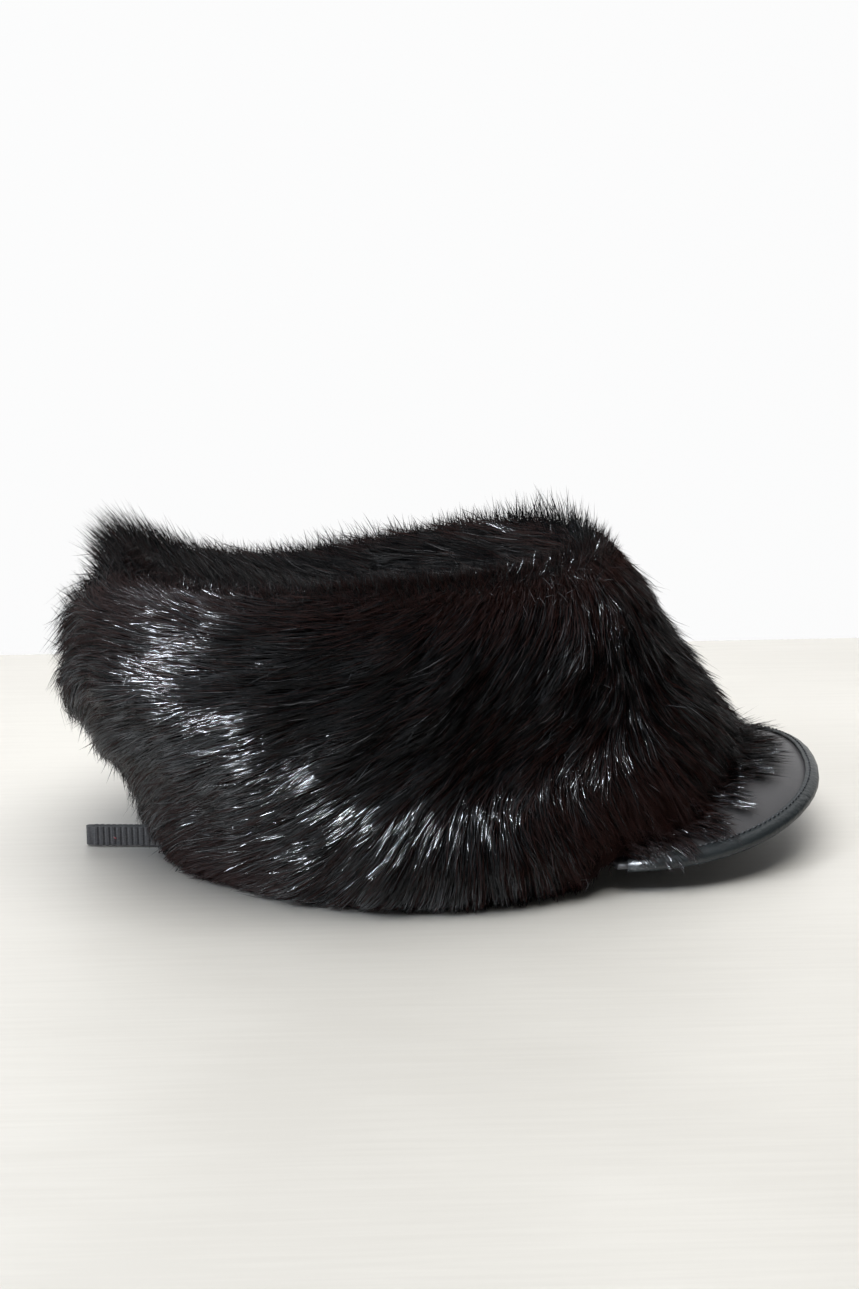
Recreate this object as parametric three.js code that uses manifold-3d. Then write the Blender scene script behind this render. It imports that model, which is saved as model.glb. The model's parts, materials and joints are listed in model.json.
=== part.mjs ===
// A black fur cap with a short leather peak and a ribbed strap at the back, in millimetres.
// +X runs from the back of the cap to its peak, +Y to the wearer's left and +Z up.
// Everything is first placed about the middle of the head opening, on the surface that the cap stands on.
// Angles go round the head opening: 0 at the peak, 90 at the wearer's left, 180 at the back.

import * as THREE from "three";
import { ParametricGeometry } from "three/addons/geometries/ParametricGeometry.js";
import { mergeVertices } from "three/addons/utils/BufferGeometryUtils.js";
import Module from "manifold-3d";

const wasm = await Module();
wasm.setup();

// Head opening
const headLength = 197;
const headWidth = 161;
const eggShape = 0.05; // share by which the oval is fuller behind its middle

// Pelts: a skin with dense underfur on it
const skinThickness = 2.5;
const wallCoat = 7.5;
const topCoat = 6;
const seamGap = 0.3; // between pieces that are sewn together
const ridgeFullness = 1.15; // how much thicker the pelts are at the seam between wall and top

// Crown: the ridge is the seam between the wall and the top
const crownHeight = 100;
const crownBackReach = 127; // of its overhang, beyond the ridge
const crownFrontReach = 52;
const crownWidth = 134;
const topDip = 17; // depth of the dished top below its ridge

// Peak: a leather-covered board that follows the rim of the wall
const peakRise = 30; // of the rim above the surface at the middle of the peak
const peakRiseSpread = 96; // degrees from the middle at which the rim is down again
const peakHalfAngle = 57; // degrees from the middle to each end of the peak
const peakReach = 139.5; // of its edge from the middle of the head opening
const peakEndX = 57;
const peakWidth = 152;
const peakTipHeight = 23.5;
const peakEndHeight = 10.5;
const peakBoard = 2.2;
const peakCamber = 1.5;
const peakSquareness = 0.86; // exponent of its outline: 1 is an ellipse, and less is squarer

// Binding: a leather strip folded over the edge of the peak
const bindingWidth = 4.6;
const bindingLeather = 0.9;
const bindingGap = 0.3;
const bindingReach = 0.985; // share of the peak's edge that it follows

// Strap: a ribbed ribbon, folded at its end, with its width upright
const strapWidth = 7.2;
const strapReach = 133.5; // of its fold from the middle of the head opening
const strapSide = -21;
const strapHeight = 0.6; // of its lower edge above the surface
const strapYaw = -4; // degrees
const ribbonThickness = 1.1;
const ribPitch = 2.1;
const ribDepth = 0.35;
const ribbonSlit = 0.5; // between its two layers
const strapPocket = 0.3; // clearance round the strap in the fur

// Locks: tapered strips of guard hair that stand out of the underfur
const lockLength = 34;
const lockWidth = 23;
const lockThickness = 6;
const lockSink = 2.4; // depth of its root in the underfur
const hemClearance = 0.5; // of the lowest locks above the surface

const DEG = Math.PI / 180;
const AROUND = 43; // facets round the head
const peakSections = 32;

// Outline of the wall: level is a share of its height, and back, front and side are shares of the way from the rim
// of the head opening to the reach of the crown.
const WALL_ROWS = [
  { level: 0.0, back: 0.0, front: 0.0, side: 0.0 },
  { level: 0.15, back: 0.05, front: 0.18, side: -0.2 },
  { level: 0.32, back: 0.24, front: 0.36, side: -0.32 },
  { level: 0.5, back: 0.74, front: 0.54, side: -0.2 },
  { level: 0.68, back: 1.0, front: 0.69, side: 0.1 },
  { level: 0.85, back: 0.92, front: 0.83, side: 0.55 },
  { level: 1.0, back: 0.52, front: 1.0, side: 1.0 },
];

// The ridge is lower than the crown's height where the soft crown sags.
const RIDGE_SAGS = [
  { name: "left side", angle: 108, drop: 21, spread: 48 },
  { name: "right side", angle: -122, drop: 2, spread: 26 },
  { name: "right front", angle: -66, drop: -5, spread: 60 },
  { name: "back", angle: 180, drop: 6, spread: 40 },
];

// Hollows and bulges of the soft wall: depth is inwards, as a share of the head's width.
const WALL_DENTS = [
  { name: "right hollow", angle: -66, level: 0.44, depth: 0.058, spread: 17, rise: 0.2 },
  { name: "right lower bulge", angle: -92, level: 0.16, depth: -0.024, spread: 15, rise: 0.13 },
  { name: "right back tuck", angle: -144, level: 0.36, depth: 0.048, spread: 24, rise: 0.18 },
  { name: "right shoulder", angle: -120, level: 0.72, depth: -0.022, spread: 24, rise: 0.2 },
  { name: "right front corner", angle: -38, level: 0.82, depth: -0.03, spread: 18, rise: 0.2 },
  { name: "left hollow", angle: 84, level: 0.52, depth: 0.04, spread: 30, rise: 0.24 },
  { name: "left back tuck", angle: 146, level: 0.3, depth: 0.03, spread: 26, rise: 0.16 },
];

// Lie of the fur on the wall: heading is in degrees from straight down towards the back of the cap, and lift is the
// height of a lock's tip as a share of its length.
const WALL_COMB = [
  { angle: 0, level: 0.15, heading: -8, lift: 0.16 },
  { angle: 0, level: 0.6, heading: 0, lift: 0.14 },
  { angle: -24, level: 0.3, heading: -30, lift: 0.15 },
  { angle: -30, level: 0.7, heading: -12, lift: 0.16 },
  { angle: -50, level: 0.16, heading: -22, lift: 0.2 },
  { angle: -54, level: 0.66, heading: 14, lift: 0.14 },
  { angle: -68, level: 0.2, heading: -34, lift: 0.18 },
  { angle: -72, level: 0.72, heading: 48, lift: 0.15 },
  { angle: -84, level: 0.22, heading: -12, lift: 0.2 },
  { angle: -88, level: 0.46, heading: 66, lift: 0.12 },
  { angle: -98, level: 0.2, heading: 42, lift: 0.18 },
  { angle: -98, level: 0.74, heading: 72, lift: 0.13 },
  { angle: -120, level: 0.22, heading: 76, lift: 0.15 },
  { angle: -128, level: 0.52, heading: 70, lift: 0.15 },
  { angle: -140, level: 0.82, heading: 92, lift: 0.18 },
  { angle: -160, level: 0.3, heading: 66, lift: 0.17 },
  { angle: 180, level: 0.25, heading: 0, lift: 0.18 },
  { angle: 180, level: 0.7, heading: 0, lift: 0.24 },
  { angle: 150, level: 0.5, heading: 66, lift: 0.16 },
  { angle: 115, level: 0.25, heading: 60, lift: 0.15 },
  { angle: 105, level: 0.75, heading: 64, lift: 0.14 },
  { angle: 72, level: 0.4, heading: 44, lift: 0.14 },
  { angle: 42, level: 0.25, heading: -14, lift: 0.17 },
  { angle: 35, level: 0.7, heading: 6, lift: 0.15 },
];
const COMB_SPREAD = { angle: 20, level: 0.2 };

// Rows of locks: share of the wall's height, or of the way from the middle of the top to its ridge.
const WALL_LOCK_ROWS = [0.1, 0.26, 0.42, 0.58, 0.74, 0.9];
const TOP_LOCK_ROWS = [0.3, 0.78];
const lockSpacing = 27;

const lerp = THREE.MathUtils.lerp;
const smooth = (x, low, high) => THREE.MathUtils.smoothstep(x, low, high);
const bell = (x) => Math.exp(-x * x);

// A value of a row table at a level, on a smooth curve through its rows.
function rowValue(rows, key, level) {
  const last = rows.length - 1;
  let i = 0;
  while (i < last - 1 && level > rows[i + 1].level) i += 1;
  const at = (k) => rows[THREE.MathUtils.clamp(k, 0, last)];
  const slope = (k) => {
    const run = at(k + 1).level - at(k - 1).level;
    return (at(k + 1)[key] - at(k - 1)[key]) / run;
  };
  const span = rows[i + 1].level - rows[i].level;
  const s = (level - rows[i].level) / span;
  const [s2, s3] = [s * s, s * s * s];
  return (
    (2 * s3 - 3 * s2 + 1) * rows[i][key] +
    (s3 - 2 * s2 + s) * span * slope(i) +
    (3 * s2 - 2 * s3) * rows[i + 1][key] +
    (s3 - s2) * span * slope(i + 1)
  );
}

// Difference between two angles in degrees, from -180 to 180.
function turn(a, b) {
  return THREE.MathUtils.euclideanModulo(a - b + 180, 360) - 180;
}

// Height of the wall's rim, which arches over the peak.
function rimHeight(angle) {
  const away = Math.min(Math.abs(turn(angle, 0)) / peakRiseSpread, 1);
  return peakRise * Math.cos((away * Math.PI) / 2) ** 2;
}

// Height of the ridge of the crown.
function ridgeHeight(angle) {
  const sag = RIDGE_SAGS.map((row) => row.drop * bell(turn(angle, row.angle) / row.spread));
  return crownHeight - sag.reduce((a, b) => a + b, 0);
}

// A point on the inner face of the wall.
function innerWall(angle, level) {
  const [c, s] = [Math.cos(angle * DEG), Math.sin(angle * DEG)];
  const back = -lerp(headLength / 2, crownBackReach, rowValue(WALL_ROWS, "back", level));
  const front = lerp(headLength / 2, crownFrontReach, rowValue(WALL_ROWS, "front", level));
  const side = lerp(headWidth / 2, crownWidth / 2, rowValue(WALL_ROWS, "side", level));
  let dent = 0;
  for (const d of WALL_DENTS) {
    dent += d.depth * bell(turn(angle, d.angle) / d.spread) * bell((level - d.level) / d.rise);
  }
  const reach = (front - back) / 2;
  const inward = dent * headWidth;
  return new THREE.Vector3(
    (front + back) / 2 + (reach - inward) * c,
    (side - inward) * s * (1 - eggShape * c),
    lerp(rimHeight(angle), ridgeHeight(angle), level),
  );
}

// The direction square to the wall, outwards.
function wallNormal(angle, level) {
  const at = THREE.MathUtils.clamp(level, 0.04, 0.96);
  const round = innerWall(angle + 1, at).sub(innerWall(angle - 1, at));
  const rising = innerWall(angle, at + 0.03).sub(innerWall(angle, at - 0.03));
  return round.cross(rising).normalize();
}

// The way from the inner face to the coat: level at the rim, square to the wall, then slanting up at the ridge.
function wallOut(angle, level) {
  const out = wallNormal(angle, level);
  const flat = new THREE.Vector3(out.x, out.y, 0).normalize();
  out.lerpVectors(flat, out, smooth(level, 0, 0.18)).normalize();
  out.z += smooth(level, 0.8, 1);
  return out.normalize();
}

// A point of the wall, a given way out from its inner face.
function wallPoint(angle, level, away) {
  const fuller = lerp(1, ridgeFullness, smooth(level, 0.7, 1));
  return innerWall(angle, level).addScaledVector(wallOut(angle, level), away * fuller);
}

// A point of the top pelt: share runs from its middle to the ridge, away is up from its lower face, and seam is the
// gap to the wall.
function topPoint(angle, share, away, seam = seamGap) {
  const ridge = innerWall(angle, 1);
  const middle = innerWall(0, 1).lerp(innerWall(180, 1), 0.5).setZ(0);
  const point = middle.clone().lerp(ridge, share);
  const mean = (ridgeHeight(90) + ridgeHeight(-90)) / 2;
  point.z = lerp(mean, ridgeHeight(angle), share * share) - topDip * (1 - share ** 3);
  const slant = smooth(share, 0.72, 1);
  const out = new THREE.Vector3(0, 0, 1).lerp(wallOut(angle, 1), slant).normalize();
  const outward = new THREE.Vector3(ridge.x - middle.x, ridge.y, 0).normalize();
  const apart = new THREE.Vector3(-outward.x, -outward.y, 1).normalize();
  const fuller = lerp(1, ridgeFullness, slant);
  return point.addScaledVector(out, away * fuller).addScaledVector(apart, seam * slant);
}

// A closed solid from any closed geometry: shared corners are merged and flattened triangles left out.
function solidOf(geometry) {
  const bare = new THREE.BufferGeometry();
  const loose = geometry.index ? geometry.toNonIndexed() : geometry;
  bare.setAttribute("position", loose.getAttribute("position").clone());
  const merged = mergeVertices(bare, 1e-3);
  const index = merged.index.array;
  const kept = [];
  for (let i = 0; i < index.length; i += 3) {
    const [a, b, c] = [index[i], index[i + 1], index[i + 2]];
    if (a !== b && b !== c && c !== a) kept.push(a, b, c);
  }
  const solid = new wasm.Manifold(
    new wasm.Mesh({
      numProp: 3,
      vertProperties: new Float32Array(merged.getAttribute("position").array),
      triVerts: new Uint32Array(kept),
    }),
  );
  if (solid.volume() > 0) return solid;
  for (let i = 0; i < kept.length; i += 3) [kept[i], kept[i + 1]] = [kept[i + 1], kept[i]];
  return new wasm.Manifold(
    new wasm.Mesh({
      numProp: 3,
      vertProperties: new Float32Array(merged.getAttribute("position").array),
      triVerts: new Uint32Array(kept),
    }),
  );
}

// The largest body of a solid, without the chips that a cut leaves.
function mainBody(solid) {
  return solid.decompose().reduce((a, b) => (a.volume() > b.volume() ? a : b));
}

function meshOf(name, solid, material) {
  const { numProp, numVert, vertProperties, triVerts } = solid.getMesh();
  const position = new Float32Array(numVert * 3);
  for (let i = 0; i < numVert; i += 1) {
    position.set(vertProperties.subarray(i * numProp, i * numProp + 3), i * 3);
  }
  const geometry = new THREE.BufferGeometry();
  geometry.setAttribute("position", new THREE.BufferAttribute(position, 3));
  geometry.setIndex(new THREE.BufferAttribute(new Uint32Array(triVerts), 1));
  const mesh = new THREE.Mesh(geometry, material);
  mesh.name = name;
  return mesh;
}

// A number from 0 to 1 that looks random and is the same on each run.
function scatter(seed) {
  const x = Math.sin(seed * 127.1 + 11.7) * 43758.5453;
  return x - Math.floor(x);
}

// The lie of the fur at a place on the wall, between the rows of the comb table.
function comb(angle, level) {
  let [x, y, lift, sum] = [0, 0, 0, 0];
  for (const row of WALL_COMB) {
    const away = turn(angle, row.angle);
    const weight =
      bell(away / COMB_SPREAD.angle) * bell((level - row.level) / COMB_SPREAD.level) + 1e-6;
    x += weight * Math.cos(row.heading * DEG);
    y += weight * Math.sin(row.heading * DEG);
    lift += weight * row.lift;
    sum += weight;
  }
  return { heading: Math.atan2(y, x), lift: lift / sum };
}

// One lock: a three-sided spike with its keel outwards. place gives the point at a run along it and a height over
// the coat, and across is the direction of its width.
function lock({ place, across, length, width, lift }) {
  const geometry = new THREE.ConeGeometry(1, 1, 3, 2);
  const position = geometry.getAttribute("position");
  for (let i = 0; i < position.count; i += 1) {
    const s = position.getY(i) + 0.5;
    const ring = Math.max(1 - s, 1e-6);
    const full = s < 1 ? Math.sqrt(1 - s) / ring : 0;
    const height = -lockSink + (lockSink + lift * length) * s;
    const point = place(length * s, height + (position.getZ(i) * full * lockThickness) / 2);
    point.addScaledVector(across, (position.getX(i) * full * width) / 2);
    point.z = Math.max(point.z, hemClearance);
    position.setXYZ(i, point.x, point.y, point.z);
  }
  return solidOf(geometry);
}

// One lock of the wall, which follows the wall from its root.
function wallLock(angle, level, seed) {
  const thick = skinThickness + wallCoat;
  const { heading, lift } = comb(angle, level);
  const root = wallPoint(angle, level, thick);
  const perDegree = wallPoint(angle + 1, level, thick).distanceTo(root);
  const perLevel = wallPoint(angle, level - 0.05, thick).distanceTo(root) / 0.05;
  const towardsBack = Math.sin(angle * DEG) < 0 ? -1 : 1;
  const place = (run, height) => {
    const turned = (towardsBack * run * Math.sin(heading)) / perDegree;
    const lowered = (run * Math.cos(heading)) / perLevel;
    return wallPoint(angle + turned, level - lowered, thick + height);
  };
  const along = place(1, 0).sub(root).normalize();
  const across = wallNormal(angle, level).cross(along).normalize();
  const toSurface = (root.z - hemClearance) / Math.max(-along.z, 0.1);
  const length = Math.min(lockLength * (0.8 + 0.4 * scatter(seed + 0.6)), toSurface);
  return lock({ place, across, length, width: lockWidth * (0.85 + 0.3 * scatter(seed + 0.8)), lift });
}

// Locks of the wall, row on row like shingles.
function wallLocks() {
  const round = Math.PI * (headLength / 2 + headWidth / 2 + 2 * (skinThickness + wallCoat));
  const count = Math.round(round / lockSpacing);
  const made = [];
  WALL_LOCK_ROWS.forEach((rowLevel, row) => {
    for (let k = 0; k < count; k += 1) {
      const seed = row * 101 + k;
      const angle = ((k + (row % 2) / 2 + 0.5 * (scatter(seed) - 0.5)) / count) * 360 - 180;
      const level = THREE.MathUtils.clamp(rowLevel + 0.05 * (scatter(seed + 0.3) - 0.5), 0.02, 0.99);
      made.push(wallLock(angle, level, seed));
    }
  });
  return made;
}

// Locks of the top, which lie towards the back and stand up along the front.
function topLocks() {
  const made = [];
  const reach = (crownFrontReach + crownBackReach + crownWidth) / 4;
  TOP_LOCK_ROWS.forEach((share, row) => {
    const count = Math.max(3, Math.round((2 * Math.PI * reach * share) / lockSpacing));
    for (let k = 0; k < count; k += 1) {
      const seed = 977 + row * 53 + k;
      const angle = ((k + 0.5 * scatter(seed)) / count) * 360;
      const root = topPoint(angle, share, skinThickness + topCoat);
      const step = 0.04;
      const inwards = topPoint(angle, share - step, skinThickness + topCoat).sub(root);
      const round = topPoint(angle + 3, share, skinThickness + topCoat).sub(root);
      const out = inwards.cross(round).normalize();
      if (out.z < 0) out.negate();
      const along = new THREE.Vector3(-1, 0.25 * (scatter(seed + 0.4) - 0.5), 0);
      along.addScaledVector(out, -along.dot(out)).normalize();
      const place = (run, height) => root.clone().addScaledVector(along, run).addScaledVector(out, height);
      made.push(
        lock({
          place,
          across: out.clone().cross(along).normalize(),
          length: lockLength * (0.75 + 0.3 * scatter(seed + 0.6)),
          width: lockWidth * (0.85 + 0.3 * scatter(seed + 0.8)),
          lift: 0.12 + 0.2 * Math.max(0, Math.cos(angle * DEG)) * share,
        }),
      );
    }
  });
  return made;
}

// The edge of the peak in plan, with the height of its upper face there. turnOut runs from -1 to 1, right to left.
function peakEdge(turnOut) {
  const phase = turnOut * (Math.PI / 2);
  const [c, s] = [Math.max(Math.cos(phase), 0), Math.sin(phase)];
  return new THREE.Vector3(
    peakEndX + (peakReach - bindingLeather - bindingGap - peakEndX) * c ** peakSquareness,
    (Math.sign(s) * Math.abs(s) ** peakSquareness * peakWidth) / 2,
    lerp(peakEndHeight, peakTipHeight, c * c),
  );
}

// A point on the upper face of the peak: share runs from the inner face of the wall to the edge.
function peakTop(turnOut, share) {
  const angle = turnOut * peakHalfAngle;
  const root = innerWall(angle, 0);
  root.z -= seamGap;
  const point = root.lerp(peakEdge(turnOut), share);
  point.z += peakCamber * Math.sin(Math.PI * share) * Math.cos((turnOut * Math.PI) / 2);
  return point;
}

// Where the sections of the peak lie, from its right end to its left. The binding stops one section short of each.
function peakStation(i) {
  if (i <= 0) return -1;
  if (i >= peakSections) return 1;
  return lerp(-bindingReach, bindingReach, (i - 1) / (peakSections - 2));
}

// The peak's board, with its edge eased.
function peakSolid() {
  const steps = 4;
  const ease = 0.7;
  const shares = Array.from({ length: steps + 1 }, (_, k) => k / steps);
  const loop = 2 * (steps + 2);
  const surface = (u, v, target) => {
    const turnOut = peakStation(u * peakSections);
    const k = Math.round(v * loop) % loop;
    const under = k >= loop / 2;
    const row = under ? loop - 1 - k : k;
    const atEdge = row === steps + 1;
    const edge = peakTop(turnOut, 1);
    const inwards = peakTop(turnOut, 0.9).sub(edge).normalize();
    target.copy(atEdge ? edge : peakTop(turnOut, shares[row]));
    if (row === steps) target.addScaledVector(inwards, ease);
    const eased = atEdge ? ease : 0;
    target.z += under ? eased - peakBoard : -eased;
  };
  return capped(surface, peakSections, loop);
}

// A closed solid from a tube-like surface: v goes round the section, and u along it. Both ends are closed flat.
function capped(surface, slices, loop) {
  const geometry = new ParametricGeometry(
    (u, v, target) => {
      const whole = u * (slices + 2);
      const at = THREE.MathUtils.clamp((whole - 1) / slices, 0, 1);
      surface(at, v, target);
      if (whole > 0.5 && whole < slices + 1.5) return;
      const opposite = new THREE.Vector3();
      surface(at, (1 - v + 1 / loop) % 1, opposite);
      target.add(opposite).multiplyScalar(0.5);
    },
    slices + 2,
    loop,
  );
  return solidOf(geometry);
}

// The binding's section, drawn round the edge of the board: x is outwards from the edge and y is up.
function bindingSection() {
  const inner = peakBoard / 2 + bindingGap;
  const outer = inner + bindingLeather;
  const steps = 4;
  const half = (radius, way) => {
    const points = [];
    for (let k = 0; k <= steps; k += 1) {
      const phase = way * (k / steps - 0.5) * Math.PI;
      points.push([radius * Math.cos(phase) + bindingGap - inner, radius * Math.sin(phase)]);
    }
    return points;
  };
  return [
    [-bindingWidth, -outer],
    ...half(outer, 1),
    [-bindingWidth, outer],
    [-bindingWidth, inner],
    ...half(inner, -1),
    [-bindingWidth, -inner],
  ];
}

// The binding: a strip folded round the edge of the board, carried along that edge.
function bindingSolid() {
  const section = bindingSection();
  const slices = peakSections - 2;
  const loop = section.length;
  const frameAt = (i) => {
    const turnOut = peakStation(i + 1);
    const edge = peakTop(turnOut, 1);
    edge.z -= peakBoard / 2;
    const inwards = peakTop(turnOut, 0.96).sub(peakTop(turnOut, 1)).normalize();
    const nudge = 1e-3;
    const travel = peakTop(turnOut + nudge, 1).sub(peakTop(turnOut - nudge, 1)).normalize();
    inwards.addScaledVector(travel, -inwards.dot(travel)).normalize();
    const up = inwards.clone().cross(travel).normalize();
    if (up.z < 0) up.negate();
    return { edge, out: inwards.negate(), up };
  };
  const position = [];
  const index = [];
  for (let i = 0; i <= slices; i += 1) {
    const { edge, out, up } = frameAt(i);
    for (const [x, y] of section) {
      const p = edge.clone().addScaledVector(out, x).addScaledVector(up, y);
      position.push(p.x, p.y, p.z);
    }
  }
  for (let i = 0; i < slices; i += 1) {
    for (let k = 0; k < loop; k += 1) {
      const [a, b] = [i * loop + k, i * loop + ((k + 1) % loop)];
      index.push(a, b, a + loop, b, b + loop, a + loop);
    }
  }
  const outline = section.map(([x, y]) => new THREE.Vector2(x, y));
  const end = slices * loop;
  for (const [a, b, c] of THREE.ShapeUtils.triangulateShape(outline, [])) {
    index.push(c, b, a, end + a, end + b, end + c);
  }
  const geometry = new THREE.BufferGeometry();
  geometry.setAttribute("position", new THREE.Float32BufferAttribute(position, 3));
  geometry.setIndex(index);
  return solidOf(geometry);
}

// The strap: the outline of the folded ribbon seen from above, with its ribs, drawn out to its width.
function strapSolid(clearance) {
  const skinX = innerWall(180, 0.02).x - skinThickness - seamGap;
  const length = strapReach + skinX;
  const half = ribbonSlit / 2 + ribbonThickness;
  const ribs = Math.floor((length - half) / ribPitch);
  const shape = new THREE.Shape();
  if (clearance) {
    const wide = half + ribDepth + clearance;
    shape.moveTo(0, -wide).lineTo(length + clearance, -wide);
    shape.lineTo(length + clearance, wide).lineTo(0, wide);
  } else {
    shape.moveTo(0, -half);
    for (let k = 0; k < ribs; k += 1) {
      shape.lineTo((k + 0.3) * ribPitch, -half - ribDepth);
      shape.lineTo((k + 0.7) * ribPitch, -half - ribDepth);
      shape.lineTo((k + 1) * ribPitch, -half);
    }
    shape.absarc(length - half, 0, half, -Math.PI / 2, Math.PI / 2, false);
    for (let k = ribs; k > 0; k -= 1) {
      shape.lineTo(k * ribPitch, half);
      shape.lineTo((k - 0.3) * ribPitch, half + ribDepth);
      shape.lineTo((k - 0.7) * ribPitch, half + ribDepth);
    }
    shape.lineTo(0, half);
    shape.lineTo(0, ribbonSlit / 2).lineTo(length - 2 * half, ribbonSlit / 2);
    shape.lineTo(length - 2 * half, -ribbonSlit / 2).lineTo(0, -ribbonSlit / 2);
  }
  const depth = strapWidth + 2 * clearance;
  const geometry = new THREE.ExtrudeGeometry(shape, { depth, bevelEnabled: false, curveSegments: 5 });
  geometry.translate(0, 0, strapHeight - clearance);
  geometry.rotateZ((180 + strapYaw) * DEG);
  geometry.translate(skinX, strapSide, 0);
  return solidOf(geometry);
}

// The wall's pelt: its section runs up the inner face, over the ridge and down the coat to the rim.
function wallPelt(neighbours) {
  const levels = WALL_ROWS.map((row) => row.level);
  const rows = levels.length;
  const thick = skinThickness + wallCoat;
  const coat = solidOf(
    new ParametricGeometry(
      (u, v, target) => {
        const angle = u * 360;
        const k = Math.round(v * 2 * rows) % (2 * rows);
        const inside = k < rows;
        const level = levels[inside ? k : 2 * rows - 1 - k];
        target.copy(inside ? innerWall(angle, level) : wallPoint(angle, level, thick));
      },
      AROUND,
      2 * rows,
    ),
  );
  const locks = wasm.Manifold.union(wallLocks()).subtract(topSlab(0, 40, 0));
  const cuts = [...neighbours.map((solid) => withMargin(solid, seamGap)), strapSolid(strapPocket)];
  return mainBody(cuts.reduce((solid, cut) => solid.subtract(cut), coat.add(locks)));
}

// A dished oval as wide as the ridge, between two heights above the lower face of the top.
function topSlab(low, high, seam) {
  const shares = [0, 0.3, 0.58, 0.8, 0.92, 1];
  const rows = shares.length;
  return solidOf(
    new ParametricGeometry(
      (u, v, target) => {
        const k = Math.round(v * (2 * rows - 1));
        const above = k < rows;
        const share = shares[above ? k : 2 * rows - 1 - k];
        target.copy(topPoint(u * 360, share, above ? high : low, seam));
      },
      AROUND,
      2 * rows - 1,
    ),
  );
}

// The top's pelt, with its locks.
function topPelt() {
  const coat = topSlab(0, skinThickness + topCoat, seamGap);
  return mainBody(wasm.Manifold.union([coat, ...topLocks()]));
}

// A solid with a margin round it, as its union with copies that are moved each way.
function withMargin(solid, margin) {
  const moves = [1, -1].flatMap((way) => [0, 1, 2].map((axis) => ({ way, axis })));
  const copies = moves.map(({ way, axis }) => {
    const move = [0, 0, 0];
    move[axis] = way * margin;
    return solid.translate(move);
  });
  return wasm.Manifold.union([solid, ...copies]);
}

function furCap() {
  const fur = new THREE.MeshStandardMaterial({ color: 0x0d0b0b, roughness: 0.55, metalness: 0 });
  const leather = new THREE.MeshStandardMaterial({ color: 0x1a1a1c, roughness: 0.42, metalness: 0 });
  const bindingHide = new THREE.MeshStandardMaterial({ color: 0x16181a, roughness: 0.5, metalness: 0 });
  const ribbon = new THREE.MeshStandardMaterial({ color: 0x2a282a, roughness: 0.8, metalness: 0 });
  const [top, peak, binding] = [topPelt(), peakSolid(), bindingSolid()];
  const cap = new THREE.Group();
  cap.add(meshOf("wall_pelt", wallPelt([top, peak, binding]), fur));
  cap.add(meshOf("top_pelt", top, fur));
  cap.add(meshOf("peak", peak, leather));
  cap.add(meshOf("peak_binding", binding, bindingHide));
  cap.add(meshOf("back_strap", strapSolid(0), ribbon));
  return cap;
}

// The cap stands with the middle of its outline at the origin.
const cap = furCap();
const extent = new THREE.Box3().setFromObject(cap);
cap.position.set(-(extent.min.x + extent.max.x) / 2, -(extent.min.y + extent.max.y) / 2, -extent.min.z);

export default cap;
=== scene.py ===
"""A black fur cap with a leather peak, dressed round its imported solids.

The pelts get a soft body of dark underfur and a coat of combed guard hair, the peak its leather, binding
and stitches, and the strap its ribbed weave. Lengths are in metres and angles in degrees. +X runs to the
peak, +Y to the wearer's left and +Z up.
"""

import json
import logging
import math
from dataclasses import dataclass, field
from enum import Enum
from typing import Any

import bmesh
import bpy
import numpy as np
from mathutils import Matrix, Vector
from mathutils.bvhtree import BVHTree
from mathutils.kdtree import KDTree

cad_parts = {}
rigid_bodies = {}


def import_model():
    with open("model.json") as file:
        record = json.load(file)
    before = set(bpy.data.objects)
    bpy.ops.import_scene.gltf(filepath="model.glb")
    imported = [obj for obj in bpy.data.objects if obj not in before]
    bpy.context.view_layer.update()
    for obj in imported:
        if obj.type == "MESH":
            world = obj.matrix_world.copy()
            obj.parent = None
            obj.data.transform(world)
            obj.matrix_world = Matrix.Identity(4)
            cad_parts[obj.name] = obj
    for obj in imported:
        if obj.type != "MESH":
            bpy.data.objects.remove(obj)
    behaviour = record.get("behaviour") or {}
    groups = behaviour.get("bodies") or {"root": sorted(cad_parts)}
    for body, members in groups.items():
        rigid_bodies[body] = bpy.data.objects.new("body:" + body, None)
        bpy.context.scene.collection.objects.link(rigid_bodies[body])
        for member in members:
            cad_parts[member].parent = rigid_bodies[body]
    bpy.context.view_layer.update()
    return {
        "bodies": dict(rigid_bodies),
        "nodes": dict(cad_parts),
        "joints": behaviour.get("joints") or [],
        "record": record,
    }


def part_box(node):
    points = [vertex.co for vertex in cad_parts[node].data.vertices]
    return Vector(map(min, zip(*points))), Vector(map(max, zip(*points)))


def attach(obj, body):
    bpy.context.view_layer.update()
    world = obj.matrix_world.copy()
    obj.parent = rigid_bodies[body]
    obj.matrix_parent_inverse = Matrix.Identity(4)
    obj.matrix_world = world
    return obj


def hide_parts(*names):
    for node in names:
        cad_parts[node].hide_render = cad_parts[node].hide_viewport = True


LOG = logging.getLogger("fur_cap")
BODY = "root"
BAKE_MAP = "OFBake"
MM = 0.001


class Slot(Enum):
    """The record's material slots."""

    FUR = "fur"
    PEAK = "peak_leather"
    BINDING = "binding_leather"
    RIBBON = "ribbed_ribbon"


class Flow(Enum):
    """How the fur of a pelt is combed."""

    WALL = "wall"
    TOP = "top"


class Shine(Enum):
    """Whether a lamp lights matt surfaces or shows in glossy ones."""

    SOFT = "soft"
    GLINT = "glint"


# Shader building


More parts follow.
